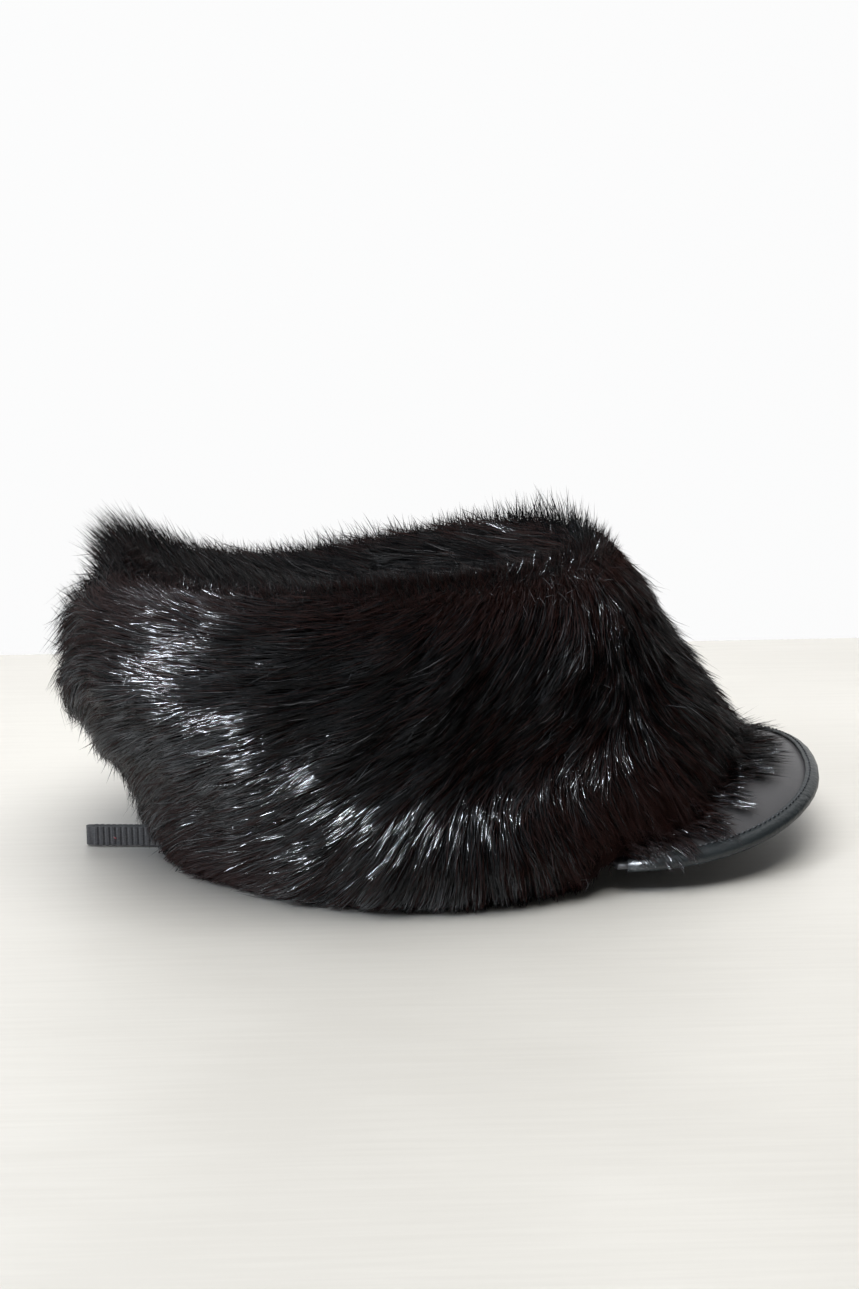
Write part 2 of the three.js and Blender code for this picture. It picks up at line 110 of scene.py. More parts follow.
class Value:
    """A number in a material's node tree, on which sums are written as Python expressions."""

    def __init__(self, graph: "Graph", socket: bpy.types.NodeSocket) -> None:
        """Wraps a socket of the graph."""
        self.graph = graph
        self.socket = socket

    def _math(self, operation: str, *terms: Any) -> "Value":
        """Adds a Math node.

        Args:
            operation: the node's operation.
            terms: values or plain numbers, in the order of its sockets.

        Returns:
            The node's result.
        """
        inputs = dict(enumerate(terms))
        return self.graph.node("ShaderNodeMath", {"operation": operation}, inputs)[0]

    def __add__(self, other: Any) -> "Value":
        """self + other."""
        return self._math("ADD", self, other)

    def __radd__(self, other: Any) -> "Value":
        """other + self."""
        return self._math("ADD", other, self)

    def __sub__(self, other: Any) -> "Value":
        """self - other."""
        return self._math("SUBTRACT", self, other)

    def __rsub__(self, other: Any) -> "Value":
        """other - self."""
        return self._math("SUBTRACT", other, self)

    def __mul__(self, other: Any) -> "Value":
        """self * other."""
        return self._math("MULTIPLY", self, other)

    def __rmul__(self, other: Any) -> "Value":
        """other * self."""
        return self._math("MULTIPLY", other, self)


class Graph:
    """A new material with a Principled shader."""

    def __init__(self, name: str) -> None:
        """Makes the material and keeps its shader.

        Args:
            name: the material's name.
        """
        self.material = bpy.data.materials.new(name)
        self.material.use_nodes = True
        self.tree = self.material.node_tree
        self.shader = self.tree.nodes["Principled BSDF"]

    def node(self, kind: str, settings: dict[str, Any], inputs: dict[Any, Any]) -> list[Value]:
        """Adds a node.

        Args:
            kind: the node's type.
            settings: its properties; "stops" sets a ramp's places and colours.
            inputs: values, links or numbers by socket name or place.

        Returns:
            The node's outputs.
        """
        node = self.tree.nodes.new(kind)
        for key, setting in settings.items():
            if key == "stops":
                self._set_stops(node.color_ramp, setting)
            else:
                setattr(node, key, setting)
        for key, value in inputs.items():
            self.feed(node.inputs[key], value)
        return [Value(self, out) for out in node.outputs]

    def _set_stops(self, ramp: bpy.types.ColorRamp, stops: list[tuple[float, tuple[float, ...]]]) -> None:
        """Gives a colour ramp its stops.

        Args:
            ramp: the colour ramp.
            stops: each stop's place, from 0 to 1, and its colour.
        """
        while len(ramp.elements) < len(stops):
            ramp.elements.new(1.0)
        for element, (place, colour) in zip(ramp.elements, stops):
            element.position = place
            element.color = (*colour, 1.0)

    def feed(self, socket: bpy.types.NodeSocket, value: Any) -> None:
        """Links or sets one input socket.

        Args:
            socket: the input socket.
            value: what to link to it, or the number or colour that it holds.
        """
        if isinstance(value, Value):
            self.tree.links.new(value.socket, socket)
        else:
            socket.default_value = value

    def dress(self, **inputs: Any) -> None:
        """Sets the Principled shader's sockets, named with underscores for spaces."""
        for key, value in inputs.items():
            self.feed(self.shader.inputs[key.replace("_", " ")], value)

    def place(self) -> Value:
        """Object coordinates."""
        return self.node("ShaderNodeTexCoord", {}, {})[3]

    def noise(self, scale: float, detail: float = 3.0, stretch: tuple[float, ...] = (1, 1, 1)) -> Value:
        """Noise on Object coordinates.

        Args:
            scale: waves per metre.
            detail: octaves.
            stretch: factors on the coordinates.

        Returns:
            The noise, from 0 to 1.
        """
        at = self.node("ShaderNodeMapping", {}, {"Vector": self.place(), "Scale": stretch})[0]
        return self.node("ShaderNodeTexNoise", {}, {"Vector": at, "Scale": scale, "Detail": detail})[0]

    def bump(self, height: Value, distance: float) -> Value:
        """A Bump node's normal, from a height and its depth in metres."""
        return self.node("ShaderNodeBump", {}, {"Height": height, "Distance": distance, "Strength": 1.0})[0]

    def ramp(self, factor: Value, stops: list[tuple[float, tuple[float, ...]]]) -> Value:
        """A Color Ramp's colour."""
        return self.node("ShaderNodeValToRGB", {"stops": stops}, {"Fac": factor})[0]


# Finishes


@dataclass(frozen=True)
class HairFinish:
    """Hair with a glossy coat.

    Its tones run across the bake map, brown first and grey-white last, and its root to tip along it.
    The grey-white tone is partly pale hair and partly painted highlight: glints of the light put into the
    colour.
    """

    root: tuple[float, float, float] = (0.006, 0.003, 0.003)
    tip: tuple[float, float, float] = (0.0022, 0.0020, 0.0024)
    brown: tuple[float, float, float] = (0.024, 0.009, 0.0075)
    # grey-white hair colour: partly pale hair, partly a painted highlight standing in for glints
    silver_and_glint: tuple[float, float, float] = (0.12, 0.12, 0.13)
    roughness: float = 0.14
    shine: float = 0.66
    brown_shine: float = 0.08
    brown_share: float = 0.25
    # share of the columns in the grey-white tone, which is partly painted highlight
    silver_and_glint_share: float = 0.02
    core_roughness: float = 0.6
    core_shine: float = 0.05

    def material(self, name: str) -> bpy.types.Material:
        """Makes the material.

        Args:
            name: the material's name.

        Returns:
            The material.
        """
        graph = Graph(name)
        uv = graph.node("ShaderNodeUVMap", {"uv_map": BAKE_MAP}, {})[0]
        across, along, _ = graph.node("ShaderNodeSeparateXYZ", {}, {"Vector": uv})
        black = graph.ramp(along, [(0.0, self.root), (0.55, self.tip)])
        brown = graph.ramp(along, [(0.0, self.root), (0.5, self.brown)])
        # grey-white towards the tip: partly pale hair, partly painted glint
        silver_and_glint = graph.ramp(along, [(0.15, self.tip), (0.6, self.silver_and_glint)])
        step = {"operation": "LESS_THAN"}
        is_brown = graph.node("ShaderNodeMath", step, {0: across, 1: self.brown_share})[0]
        # the last columns take the grey-white tone, which is partly painted highlight
        is_silver_and_glint = graph.node("ShaderNodeMath", step, {0: 1.0 - across, 1: self.silver_and_glint_share})[0]
        mix = {"data_type": "RGBA"}
        shade = graph.node("ShaderNodeMix", mix, {"Factor": is_brown, 6: black, 7: brown})[2]
        shade = graph.node("ShaderNodeMix", mix, {"Factor": is_silver_and_glint, 6: shade, 7: silver_and_glint})[2]
        coat = self.shine - (self.shine - self.brown_shine) * is_brown
        graph.dress(Base_Color=shade, Roughness=self.core_roughness, Specular_IOR_Level=self.core_shine)
        graph.dress(Coat_Weight=coat, Coat_Roughness=self.roughness, Coat_IOR=1.5)
        return graph.material


@dataclass(frozen=True)
class UnderfurFinish:
    """Soft dark brown underfur."""

    deep: tuple[float, float, float] = (0.002, 0.0015, 0.0015)
    warm: tuple[float, float, float] = (0.016, 0.006, 0.005)
    cloud: float = 90.0
    nap: float = 900.0
    nap_depth: float = 0.8 * MM
    roughness: float = 0.85

    def material(self, name: str) -> bpy.types.Material:
        """Makes the material.

        Args:
            name: the material's name.

        Returns:
            The material.
        """
        graph = Graph(name)
        shade = graph.ramp(graph.noise(self.cloud), [(0.38, self.deep), (0.66, self.warm)])
        normal = graph.bump(graph.noise(self.nap), self.nap_depth)
        graph.dress(Base_Color=shade, Roughness=self.roughness, Specular_IOR_Level=0.05, Normal=normal)
        return graph.material


@dataclass(frozen=True)
class HideFinish:
    """The inner side of the pelts: a dark, matt hide."""

    colour: tuple[float, float, float] = (0.018, 0.016, 0.016)
    grain: float = 420.0
    depth: float = 0.25 * MM
    roughness: float = 0.7

    def material(self, name: str) -> bpy.types.Material:
        """Makes the material.

        Args:
            name: the material's name.

        Returns:
            The material.
        """
        graph = Graph(name)
        normal = graph.bump(graph.noise(self.grain), self.depth)
        graph.dress(Base_Color=(*self.colour, 1.0), Roughness=self.roughness, Normal=normal)
        return graph.material


@dataclass(frozen=True)
class LeatherFinish:
    """Dyed leather with a grain."""

    colour: tuple[float, float, float]
    roughness: float
    grain: float
    depth: float
    cloud: float = 28.0
    cloud_factor: float = 1.5
    gloss_change: float = 0.12

    def material(self, name: str) -> bpy.types.Material:
        """Makes the material.

        Args:
            name: the material's name.

        Returns:
            The material.
        """
        graph = Graph(name)
        grain = graph.noise(self.grain, 5.0)
        lighter = tuple(self.cloud_factor * c for c in self.colour)
        shade = graph.ramp(graph.noise(self.cloud), [(0.35, self.colour), (0.7, lighter)])
        gloss = self.roughness + self.gloss_change * (grain - 0.5)
        graph.dress(Base_Color=shade, Roughness=gloss, Normal=graph.bump(grain, self.depth))
        return graph.material


@dataclass(frozen=True)
class RibbonFinish:
    """Ribbed ribbon: a fine matt weave."""

    colour: tuple[float, float, float] = (0.022, 0.021, 0.023)
    fleck: tuple[float, float, float] = (0.07, 0.06, 0.062)
    weave: float = 1500.0
    weave_stretch: tuple[float, float, float] = (1.0, 1.0, 3.0)
    depth: float = 0.25 * MM
    roughness: float = 0.8
    shine: float = 0.25

    def material(self, name: str) -> bpy.types.Material:
        """Makes the material.

        Args:
            name: the material's name.

        Returns:
            The material.
        """
        graph = Graph(name)
        weave = graph.noise(self.weave, 2.0, self.weave_stretch)
        shade = graph.ramp(weave, [(0.42, self.colour), (0.72, self.fleck)])
        normal = graph.bump(weave, self.depth)
        graph.dress(Base_Color=shade, Roughness=self.roughness, Specular_IOR_Level=self.shine, Normal=normal)
        return graph.material


@dataclass(frozen=True)
class PlainFinish:
    """One colour all over."""

    colour: tuple[float, float, float]
    roughness: float

    def material(self, name: str) -> bpy.types.Material:
        """Makes the material.

        Args:
            name: the material's name.

        Returns:
            The material.
        """
        graph = Graph(name)
        graph.dress(Base_Color=(*self.colour, 1.0), Roughness=self.roughness)
        return graph.material


@dataclass(frozen=True)
class GlowFinish:
    """A white surface so evenly lit that it glows."""

    colour: tuple[float, float, float] = (0.955, 0.955, 0.955)

    def material(self, name: str) -> bpy.types.Material:
        """Makes the material.

        Args:
            name: the material's name.

        Returns:
            The material.
        """
        graph = Graph(name)
        graph.dress(Base_Color=(0.0, 0.0, 0.0, 1.0), Roughness=1.0)
        graph.dress(Emission_Color=(*self.colour, 1.0), Emission_Strength=1.0)
        return graph.material


@dataclass(frozen=True)
class TableFinish:
    """Pale brushed metal, clouded and softly reflecting."""

    pale: tuple[float, float, float] = (0.73, 0.715, 0.68)
    dull: tuple[float, float, float] = (0.67, 0.654, 0.62)
    brush: float = 160.0
    brush_stretch: tuple[float, float, float] = (0.12, 2.5, 1.0)
    brush_share: float = 0.35
    cloud_share: float = 0.65
    cloud: float = 6.0
    roughness: float = 0.40
    brush_roughness: float = 0.1
    metal: float = 0.12

    def material(self, name: str) -> bpy.types.Material:
        """Makes the material.

        Args:
            name: the material's name.

        Returns:
            The material.
        """
        graph = Graph(name)
        brushed = graph.noise(self.brush, 3.0, self.brush_stretch)
        clouded = self.brush_share * brushed + self.cloud_share * graph.noise(self.cloud, 2.0)
        shade = graph.ramp(clouded, [(0.38, self.dull), (0.62, self.pale)])
        gloss = self.roughness + self.brush_roughness * brushed
        graph.dress(Base_Color=shade, Roughness=gloss, Metallic=self.metal)
        return graph.material


# Meshes


def new_object(name: str, mesh: bpy.types.Mesh, *materials: bpy.types.Material) -> bpy.types.Object:
    """Links a mesh as an object at the origin.

    Args:
        name: the object's name.
        mesh: its mesh.
        materials: its materials, in order.

    Returns:
        The object.
    """
    obj = bpy.data.objects.new(name, mesh)
    bpy.context.scene.collection.objects.link(obj)
    for material in materials:
        mesh.materials.append(material)
    return obj


def from_bmesh(name: str, bm: bmesh.types.BMesh, *materials: bpy.types.Material) -> bpy.types.Object:
    """Turns a bmesh into a smooth object and frees it.

    Args:
        name: the object's name.
        bm: the bmesh.
        materials: its materials, in order.

    Returns:
        The object.
    """
    mesh = bpy.data.meshes.new(name)
    for face in bm.faces:
        face.smooth = True
    bm.to_mesh(mesh)
    bm.free()
    return new_object(name, mesh, *materials)


def merged_copy(node: bpy.types.Object) -> bmesh.types.BMesh:
    """Copies a CAD node with its triangles joined up.

    Args:
        node: the CAD node.

    Returns:
        A bmesh.
    """
    bm = bmesh.new()
    bm.from_mesh(node.data)
    bmesh.ops.remove_doubles(bm, verts=bm.verts, dist=0.005 * MM)
    return bm


def keep(obj: bpy.types.Object, slot: Slot, *nodes: str) -> bpy.types.Object:
    """Lets a finished piece ride on the cap.

    Args:
        obj: the piece.
        slot: the record's slot; not used.
        nodes: the CAD nodes that it stands for.

    Returns:
        The piece.
    """
    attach(obj, BODY)
    if nodes:
        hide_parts(*nodes)
    LOG.info("%s: %d faces", obj.name, len(obj.data.polygons))
    return obj


def upper_points(node: bpy.types.Object, count: int) -> tuple[np.ndarray, np.ndarray]:
    """Scatters points over the faces of a CAD node that look up.

    Args:
        node: the CAD node.
        count: how many points.

    Returns:
        The points and their normals.
    """
    rng = np.random.default_rng(3)
    faces = [face for face in node.data.polygons if face.normal.z > 0.5]
    areas = np.array([face.area for face in faces])
    chosen = rng.choice(len(faces), count, p=areas / areas.sum())
    weights = rng.dirichlet((1.0, 1.0, 1.0), count)
    corners = np.array([[node.data.vertices[i].co for i in face.vertices] for face in faces])
    normals = np.array([face.normal for face in faces])
    return np.einsum("nc,ncs->ns", weights, corners[chosen]), normals[chosen]


def unit(vectors: np.ndarray) -> np.ndarray:
    """Vectors at length 1."""
    return vectors / np.maximum(np.linalg.norm(vectors, axis=-1, keepdims=True), 1e-9)


# The cap's frame and the lie of its fur


@dataclass
class HeadFrame:
    """The place of the head opening, and the heights between which the wall runs.

    The wall's outline is an ellipse that changes from the rim to the crown, which lies further back and sags
    round one angle on the left. The ridge starts at ridge_level, a share of the wall's height, and on the top
    at top_ridge, a share of the way out from the middle.
    """

    peak_reach: float = 139.5 * MM
    peak_rise: float = 30 * MM
    rise_spread: float = 96.0
    crown_height: float = 109 * MM
    left_sag: float = 20 * MM
    sag_angle: float = 108.0
    sag_spread: float = 48.0
    rim_reach: tuple[float, float] = (108 * MM, 91 * MM)
    crown_reach: tuple[float, float] = (92 * MM, 77 * MM)
    crown_shift: float = -30 * MM
    ridge_level: float = 0.86
    ridge_depth: float = 0.1
    top_ridge: float = 0.80
    top_ridge_depth: float = 0.12
    top_narrowing: float = 1.12
    origin: np.ndarray = field(default_factory=lambda: np.zeros(3))

    def locate(self) -> None:
        """Finds the middle of the head opening from the peak."""
        low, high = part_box("peak_binding")
        self.origin = np.array([high.x - self.peak_reach, (low.y + high.y) / 2, 0.0])

    def angle_and_level(self, points: np.ndarray) -> tuple[np.ndarray, np.ndarray]:
        """Where points of the fur lie.

        Args:
            points: an array of points.

        Returns:
            Degrees round the head from the peak, left positive, and the share of the wall's height.
        """
        at = points - self.origin
        share = np.clip(at[:, 2] / self.crown_height, 0.0, 1.0)
        long_reach = self.rim_reach[0] + share * (self.crown_reach[0] - self.rim_reach[0])
        wide_reach = self.rim_reach[1] + share * (self.crown_reach[1] - self.rim_reach[1])
        x = (at[:, 0] - share * self.crown_shift) / long_reach
        angle = np.degrees(np.arctan2(at[:, 1] / wide_reach, x))
        rim = self.peak_rise * np.cos(np.radians(90 * np.clip(np.abs(angle) / self.rise_spread, 0, 1))) ** 2
        sag = self.left_sag * np.exp(-(((angle - self.sag_angle) / self.sag_spread) ** 2))
        ridge = self.crown_height - sag
        return angle, np.clip((at[:, 2] - rim) / (ridge - rim), 0.0, 1.15)

    def ridge_share(self, flow: Flow, points: np.ndarray) -> np.ndarray:
        """Works out how near points are to the ridge between the wall and the top.

        Args:
            flow: which pelt they are on.
            points: an array of points.

        Returns:
            From 0 away from the ridge to 1 on it.
        """
        if flow is Flow.WALL:
            _, level = self.angle_and_level(points)
            return np.clip((level - self.ridge_level) / self.ridge_depth, 0, 1)
        x = (points[:, 0] - self.origin[0] - self.crown_shift) / self.crown_reach[0]
        y = (points[:, 1] - self.origin[1]) / self.crown_reach[1]
        out = np.hypot(x, y * self.top_narrowing)
        return np.clip((out - self.top_ridge) / self.top_ridge_depth, 0, 1)


@dataclass(frozen=True)
class Lie:
    """How the fur lies at one place of the wall.

    heading is measured from straight down towards the back, and lift is the height of a hair's tip as a
    share of its length.
    """

    angle: float
    level: float
    heading: float
    lift: float


@dataclass
class Comb:
    """The lie of the fur all over the cap.

    On the wall it is worked out between a few places, each of which reaches as far as the spreads say. On the
    top the hair runs backwards, turns towards the ridge and stands up along it.
    """

    rows: tuple[Lie, ...] = (
        Lie(0, 0.10, -4, 0.15),
        Lie(0, 0.60, 0, 0.12),
        Lie(-24, 0.30, -30, 0.14),
        Lie(-24, 0.78, -8, 0.12),
        Lie(-42, 0.82, 32, 0.10),
        Lie(-48, 0.12, -20, 0.17),
        Lie(-54, 0.66, 42, 0.12),
        Lie(-64, 0.44, 84, 0.06),
        Lie(-66, 0.20, -36, 0.16),
        Lie(-72, 0.72, 52, 0.13),
        Lie(-82, 0.20, -16, 0.18),
        Lie(-88, 0.46, 68, 0.12),
        Lie(-98, 0.20, 40, 0.17),
        Lie(-98, 0.76, 76, 0.12),
        Lie(-120, 0.22, 74, 0.14),
        Lie(-128, 0.52, 66, 0.14),
        Lie(-136, 0.97, 96, 0.16),
        Lie(180, 0.97, 150, 0.40),
        Lie(-120, 0.80, 88, 0.13),
        Lie(-142, 0.78, 84, 0.14),
        Lie(-160, 0.30, 62, 0.15),
        Lie(180, 0.25, 0, 0.15),
        Lie(180, 0.72, 0, 0.21),
        Lie(150, 0.50, 66, 0.15),
        Lie(115, 0.25, 60, 0.14),
        Lie(105, 0.75, 64, 0.13),
        Lie(72, 0.40, 44, 0.13),
        Lie(42, 0.25, -14, 0.15),
        Lie(35, 0.70, 6, 0.14),
    )
    tuft_angle: float = 166.0
    tuft_spread: float = 26.0
    angle_spread: float = 19.0
    level_spread: float = 0.19
    faint: float = 1e-6
    far_lift: float = 0.3
    left_turn: float = 0.25
    right_turn: float = 0.10
    front_turn: float = 1.3
    top_lift: float = 0.13
    left_lift: float = 0.16
    front_lift: float = 0.34
    tuft_lift: float = 0.50

    def wall(self, head: HeadFrame, points: np.ndarray, normals: np.ndarray) -> tuple[np.ndarray, np.ndarray]:
        """Combs the wall.

        Args:
            head: the cap's frame.
            points: places on the wall.
            normals: the outward directions there.

        Returns:
            The direction of the hair along the surface, and its lift.
        """
        angle, level = head.angle_and_level(points)
        x = np.full(len(points), self.faint)
        y = np.zeros(len(points))
        lift = np.full(len(points), self.far_lift * self.faint)
        total = np.full(len(points), self.faint)
        for row in self.rows:
            turned = ((angle - row.angle + 180) % 360 - 180) / self.angle_spread
            raised = (level - row.level) / self.level_spread
            weight = np.exp(-(turned**2) - raised**2)
            x += weight * math.cos(math.radians(row.heading))
            y += weight * math.sin(math.radians(row.heading))
            lift += weight * row.lift
            total += weight
        heading = np.arctan2(y, x)[:, None]
        down = np.array([0.0, 0.0, -1.0]) + normals * normals[:, 2:3]
        down = unit(down)
        side = np.where(angle < 0, 1.0, -1.0)[:, None]
        to_back = unit(np.cross(down, normals)) * side
        return unit(down * np.cos(heading) + to_back * np.sin(heading)), lift / total

    def top(self, head: HeadFrame, points: np.ndarray, normals: np.ndarray) -> tuple[np.ndarray, np.ndarray]:
        """Combs the top: backwards, spreading towards the ridge and standing up along the front.

        Args:
            head: the cap's frame.
            points: places on the top.
            normals: the upward directions there.

        Returns:
            The direction of the hair along the surface, and its lift.
        """
        at = points - head.origin
        x = (at[:, 0] - head.crown_shift) / head.crown_reach[0]
        y = at[:, 1] / head.crown_reach[1]
        share = np.clip(np.hypot(x, y), 0, 1.1)
        front = np.clip(x, 0, 1)
        left = np.clip(y, 0, 1)
        angle = np.degrees(np.arctan2(y, x))
        turned = (angle - self.tuft_angle + 180) % 360 - 180
        tuft = np.exp(-((turned / self.tuft_spread) ** 2))
        aside = (self.left_turn * left - self.right_turn * np.clip(-y, 0, 1)) * share**2
        ahead = -1.0 + self.front_turn * front * share**4
        way = np.stack([ahead, aside, np.zeros_like(x)], axis=1)
        way -= normals * np.sum(way * normals, axis=1, keepdims=True)
        raised = self.left_lift * left + self.front_lift * front + self.tuft_lift * tuft
        return unit(way), self.top_lift + share**3 * raised


# Fur


@dataclass
class Underfur:
    """The soft body of a pelt, which keeps the form of its solid.

    A face is on the inner side where its normal's height is under one of the limits.
    """

    node: str
    name: str
    flow: Flow
    voxel: float = 2.6 * MM
    smoothing: int = 4
    top_limit: float = 0.05
    wall_limit: float = 0.35
    rim_limit: float = -0.85

    def build(
        self,
        head: HeadFrame,
        frame: dict[str, Any],
        fur: bpy.types.Material,
        hide: bpy.types.Material,
    ) -> bpy.types.Object:
        """Remeshes a copy of the solid, softens it and paints its two sides.

        Args:
            head: the cap's frame.
            frame: the loaded CAD.
            fur: the outer material.
            hide: the inner material.

        Returns:
            The piece.
        """
        body = from_bmesh(self.name, merged_copy(frame["nodes"][self.node]), fur, hide)
        remesh = body.modifiers.new("even", "REMESH")
        remesh.mode = "VOXEL"
        remesh.voxel_size = self.voxel
        even = bpy.data.meshes.new_from_object(body.evaluated_get(bpy.context.evaluated_depsgraph_get()))
        body.modifiers.clear()
        bm = bmesh.new()
        bm.from_mesh(even)
        axes = {"use_axis_x": True, "use_axis_y": True, "use_axis_z": True}
        for _ in range(self.smoothing):
            bmesh.ops.smooth_vert(bm, verts=bm.verts, factor=0.5, **axes)
        for face in bm.faces:
            face.smooth = True
            middle = face.calc_center_median()
            face.material_index = int(self.is_inside(head, middle, face.normal))
        bm.to_mesh(body.data)
        bm.free()
        bpy.data.meshes.remove(even)
        return keep(body, Slot.FUR, self.node)

    def is_inside(self, head: HeadFrame, place: Vector, normal: Vector) -> bool:
        """Tells the inner side of the pelt from the outer.

        Args:
            head: the cap's frame.
            place: a face's middle.
            normal: its outward direction.

        Returns:
            Whether the face looks into the head opening or down at its rim.
        """
        if self.flow is Flow.TOP:
            return normal.z < self.top_limit
        share = min(max(place.z / head.crown_height, 0.0), 1.0)
        x = place.x - head.origin[0] - share * head.crown_shift
        outward = Vector((x, place.y - head.origin[1], 0.0))
        inward = normal.dot(outward.normalized()) < 0.0 and normal.z < self.wall_limit
        return inward or normal.z < self.rim_limit


@dataclass(frozen=True)
class BrownZone:
    """Where guard hair is brown and dull: the middle, how far it reaches and the share in the middle."""

    angle: float
    angle_spread: float
    level: float
    level_spread: float
    share: float


BROWN_ZONES = (
    BrownZone(-50, 23, 0.18, 0.30, 1.0),
    BrownZone(50, 23, 0.18, 0.30, 1.0),
    BrownZone(-132, 26, 0.06, 0.24, 0.9),
    BrownZone(-150, 28, 0.95, 0.22, 0.9),
)


@dataclass(frozen=True)
class HairStyle:
    """One kind of hair that grows all over a pelt.

    lift is a factor on the comb's lift, clump the share by which tips draw together into locks, stray how far
    tips scatter and sink how deep roots start. ridge is the density along the ridge, and brown the share of
    brown hair there. Coarse hairs are made of two parts instead of three.
    """

    name: str
    length: float
    width: float
    lift: float
    clump: float
    stray: float
    sink: float
    ridge: float
    brown: float
    coarse: bool


GUARD_HAIR = HairStyle("guard_hair", 22 * MM, 0.36 * MM, 1.0, 0.75, 0.9 * MM, 1.2 * MM, 0.8, 0.5, False)
SHORT_HAIR = HairStyle("short_hair", 8 * MM, 0.46 * MM, 1.5, 0.25, 0.9 * MM, 0.3 * MM, 5.0, 0.9, True)


@dataclass(frozen=True)
class Patch:
    """A patch of hairs that stand away from the coat.

    It spreads about an angle along the ridge, and its hairs point one way and bend towards another. tones is
    the range of the bake map that they take.
    """

    name: str
    angle: float
    angle_spread: float
    ridge_spread: float
    way: tuple[float, float, float]
    bend: tuple[float, float, float]
    count: int
    length: float
    scatter: float
    tones: tuple[float, float]
    coarse: bool = False


UP = (0.0, 0.0, 1.0)
UP_AND_BACK = (-0.45, 0.0, 0.90)
BACK = (-0.28, 0.0, 0.0)
PATCHES = {
    Flow.WALL: (
        Patch("wall_ridge_fuzz", 0, 900, 0.4, (0, 0, 0.5), UP, 8000, 5.5 * MM, 0.6, (0, 0.4), True),
        Patch("near_ridge_fuzz", -78, 34, 0.4, (-0.2, -0.1, 1), BACK, 6000, 8 * MM, 0.3, (0, 0.45), True),
        Patch("back_tuft_outside", 172, 20, 0.7, UP_AND_BACK, BACK, 3200, 24 * MM, 0.15, (0.1, 0.96)),
        # Bent hairs in the grey-white tone: partly pale strands, partly painted highlight where bent hairs
        # catch the light.
        Patch("bent_pale_and_glint_hairs", -42, 16, 0.9, (0.1, -0.8, 0.2), (0, 0, -0.5), 420, 9 * MM, 0.6, (0.97, 1)),
    ),
    Flow.TOP: (
        Patch("top_ridge_fuzz", 0, 900, 0.5, (0, 0, 0.5), UP, 7000, 5.5 * MM, 0.6, (0, 0.5), True),
        Patch("back_tuft_inside", 166, 24, 0.9, UP_AND_BACK, BACK, 4200, 25 * MM, 0.15, (0.1, 0.96)),
        Patch("front_spikes", 20, 42, 0.8, (-0.1, 0, 1), (-0.1, 0, 0), 1800, 18 * MM, 0.27, (0.25, 0.97)),
        Patch("far_spikes", 95, 32, 0.9, (-0.45, 0.05, 0.9), (-0.2, 0, 0), 900, 14 * MM, 0.24, (0.25, 0.96)),
    ),
}

# Shares of a hair's length at which it has a point, with those that fine and coarse hairs keep
STATIONS = (0.0, 0.38, 0.72, 1.0)
FINE = [0, 1, 2, 3]
COARSE = [0, 1, 3]

# Columns of the bake map, of which the first quarter is brown and the last is grey-white, partly painted
# highlight
TONES = 64
BROWN_TONES = TONES // 4


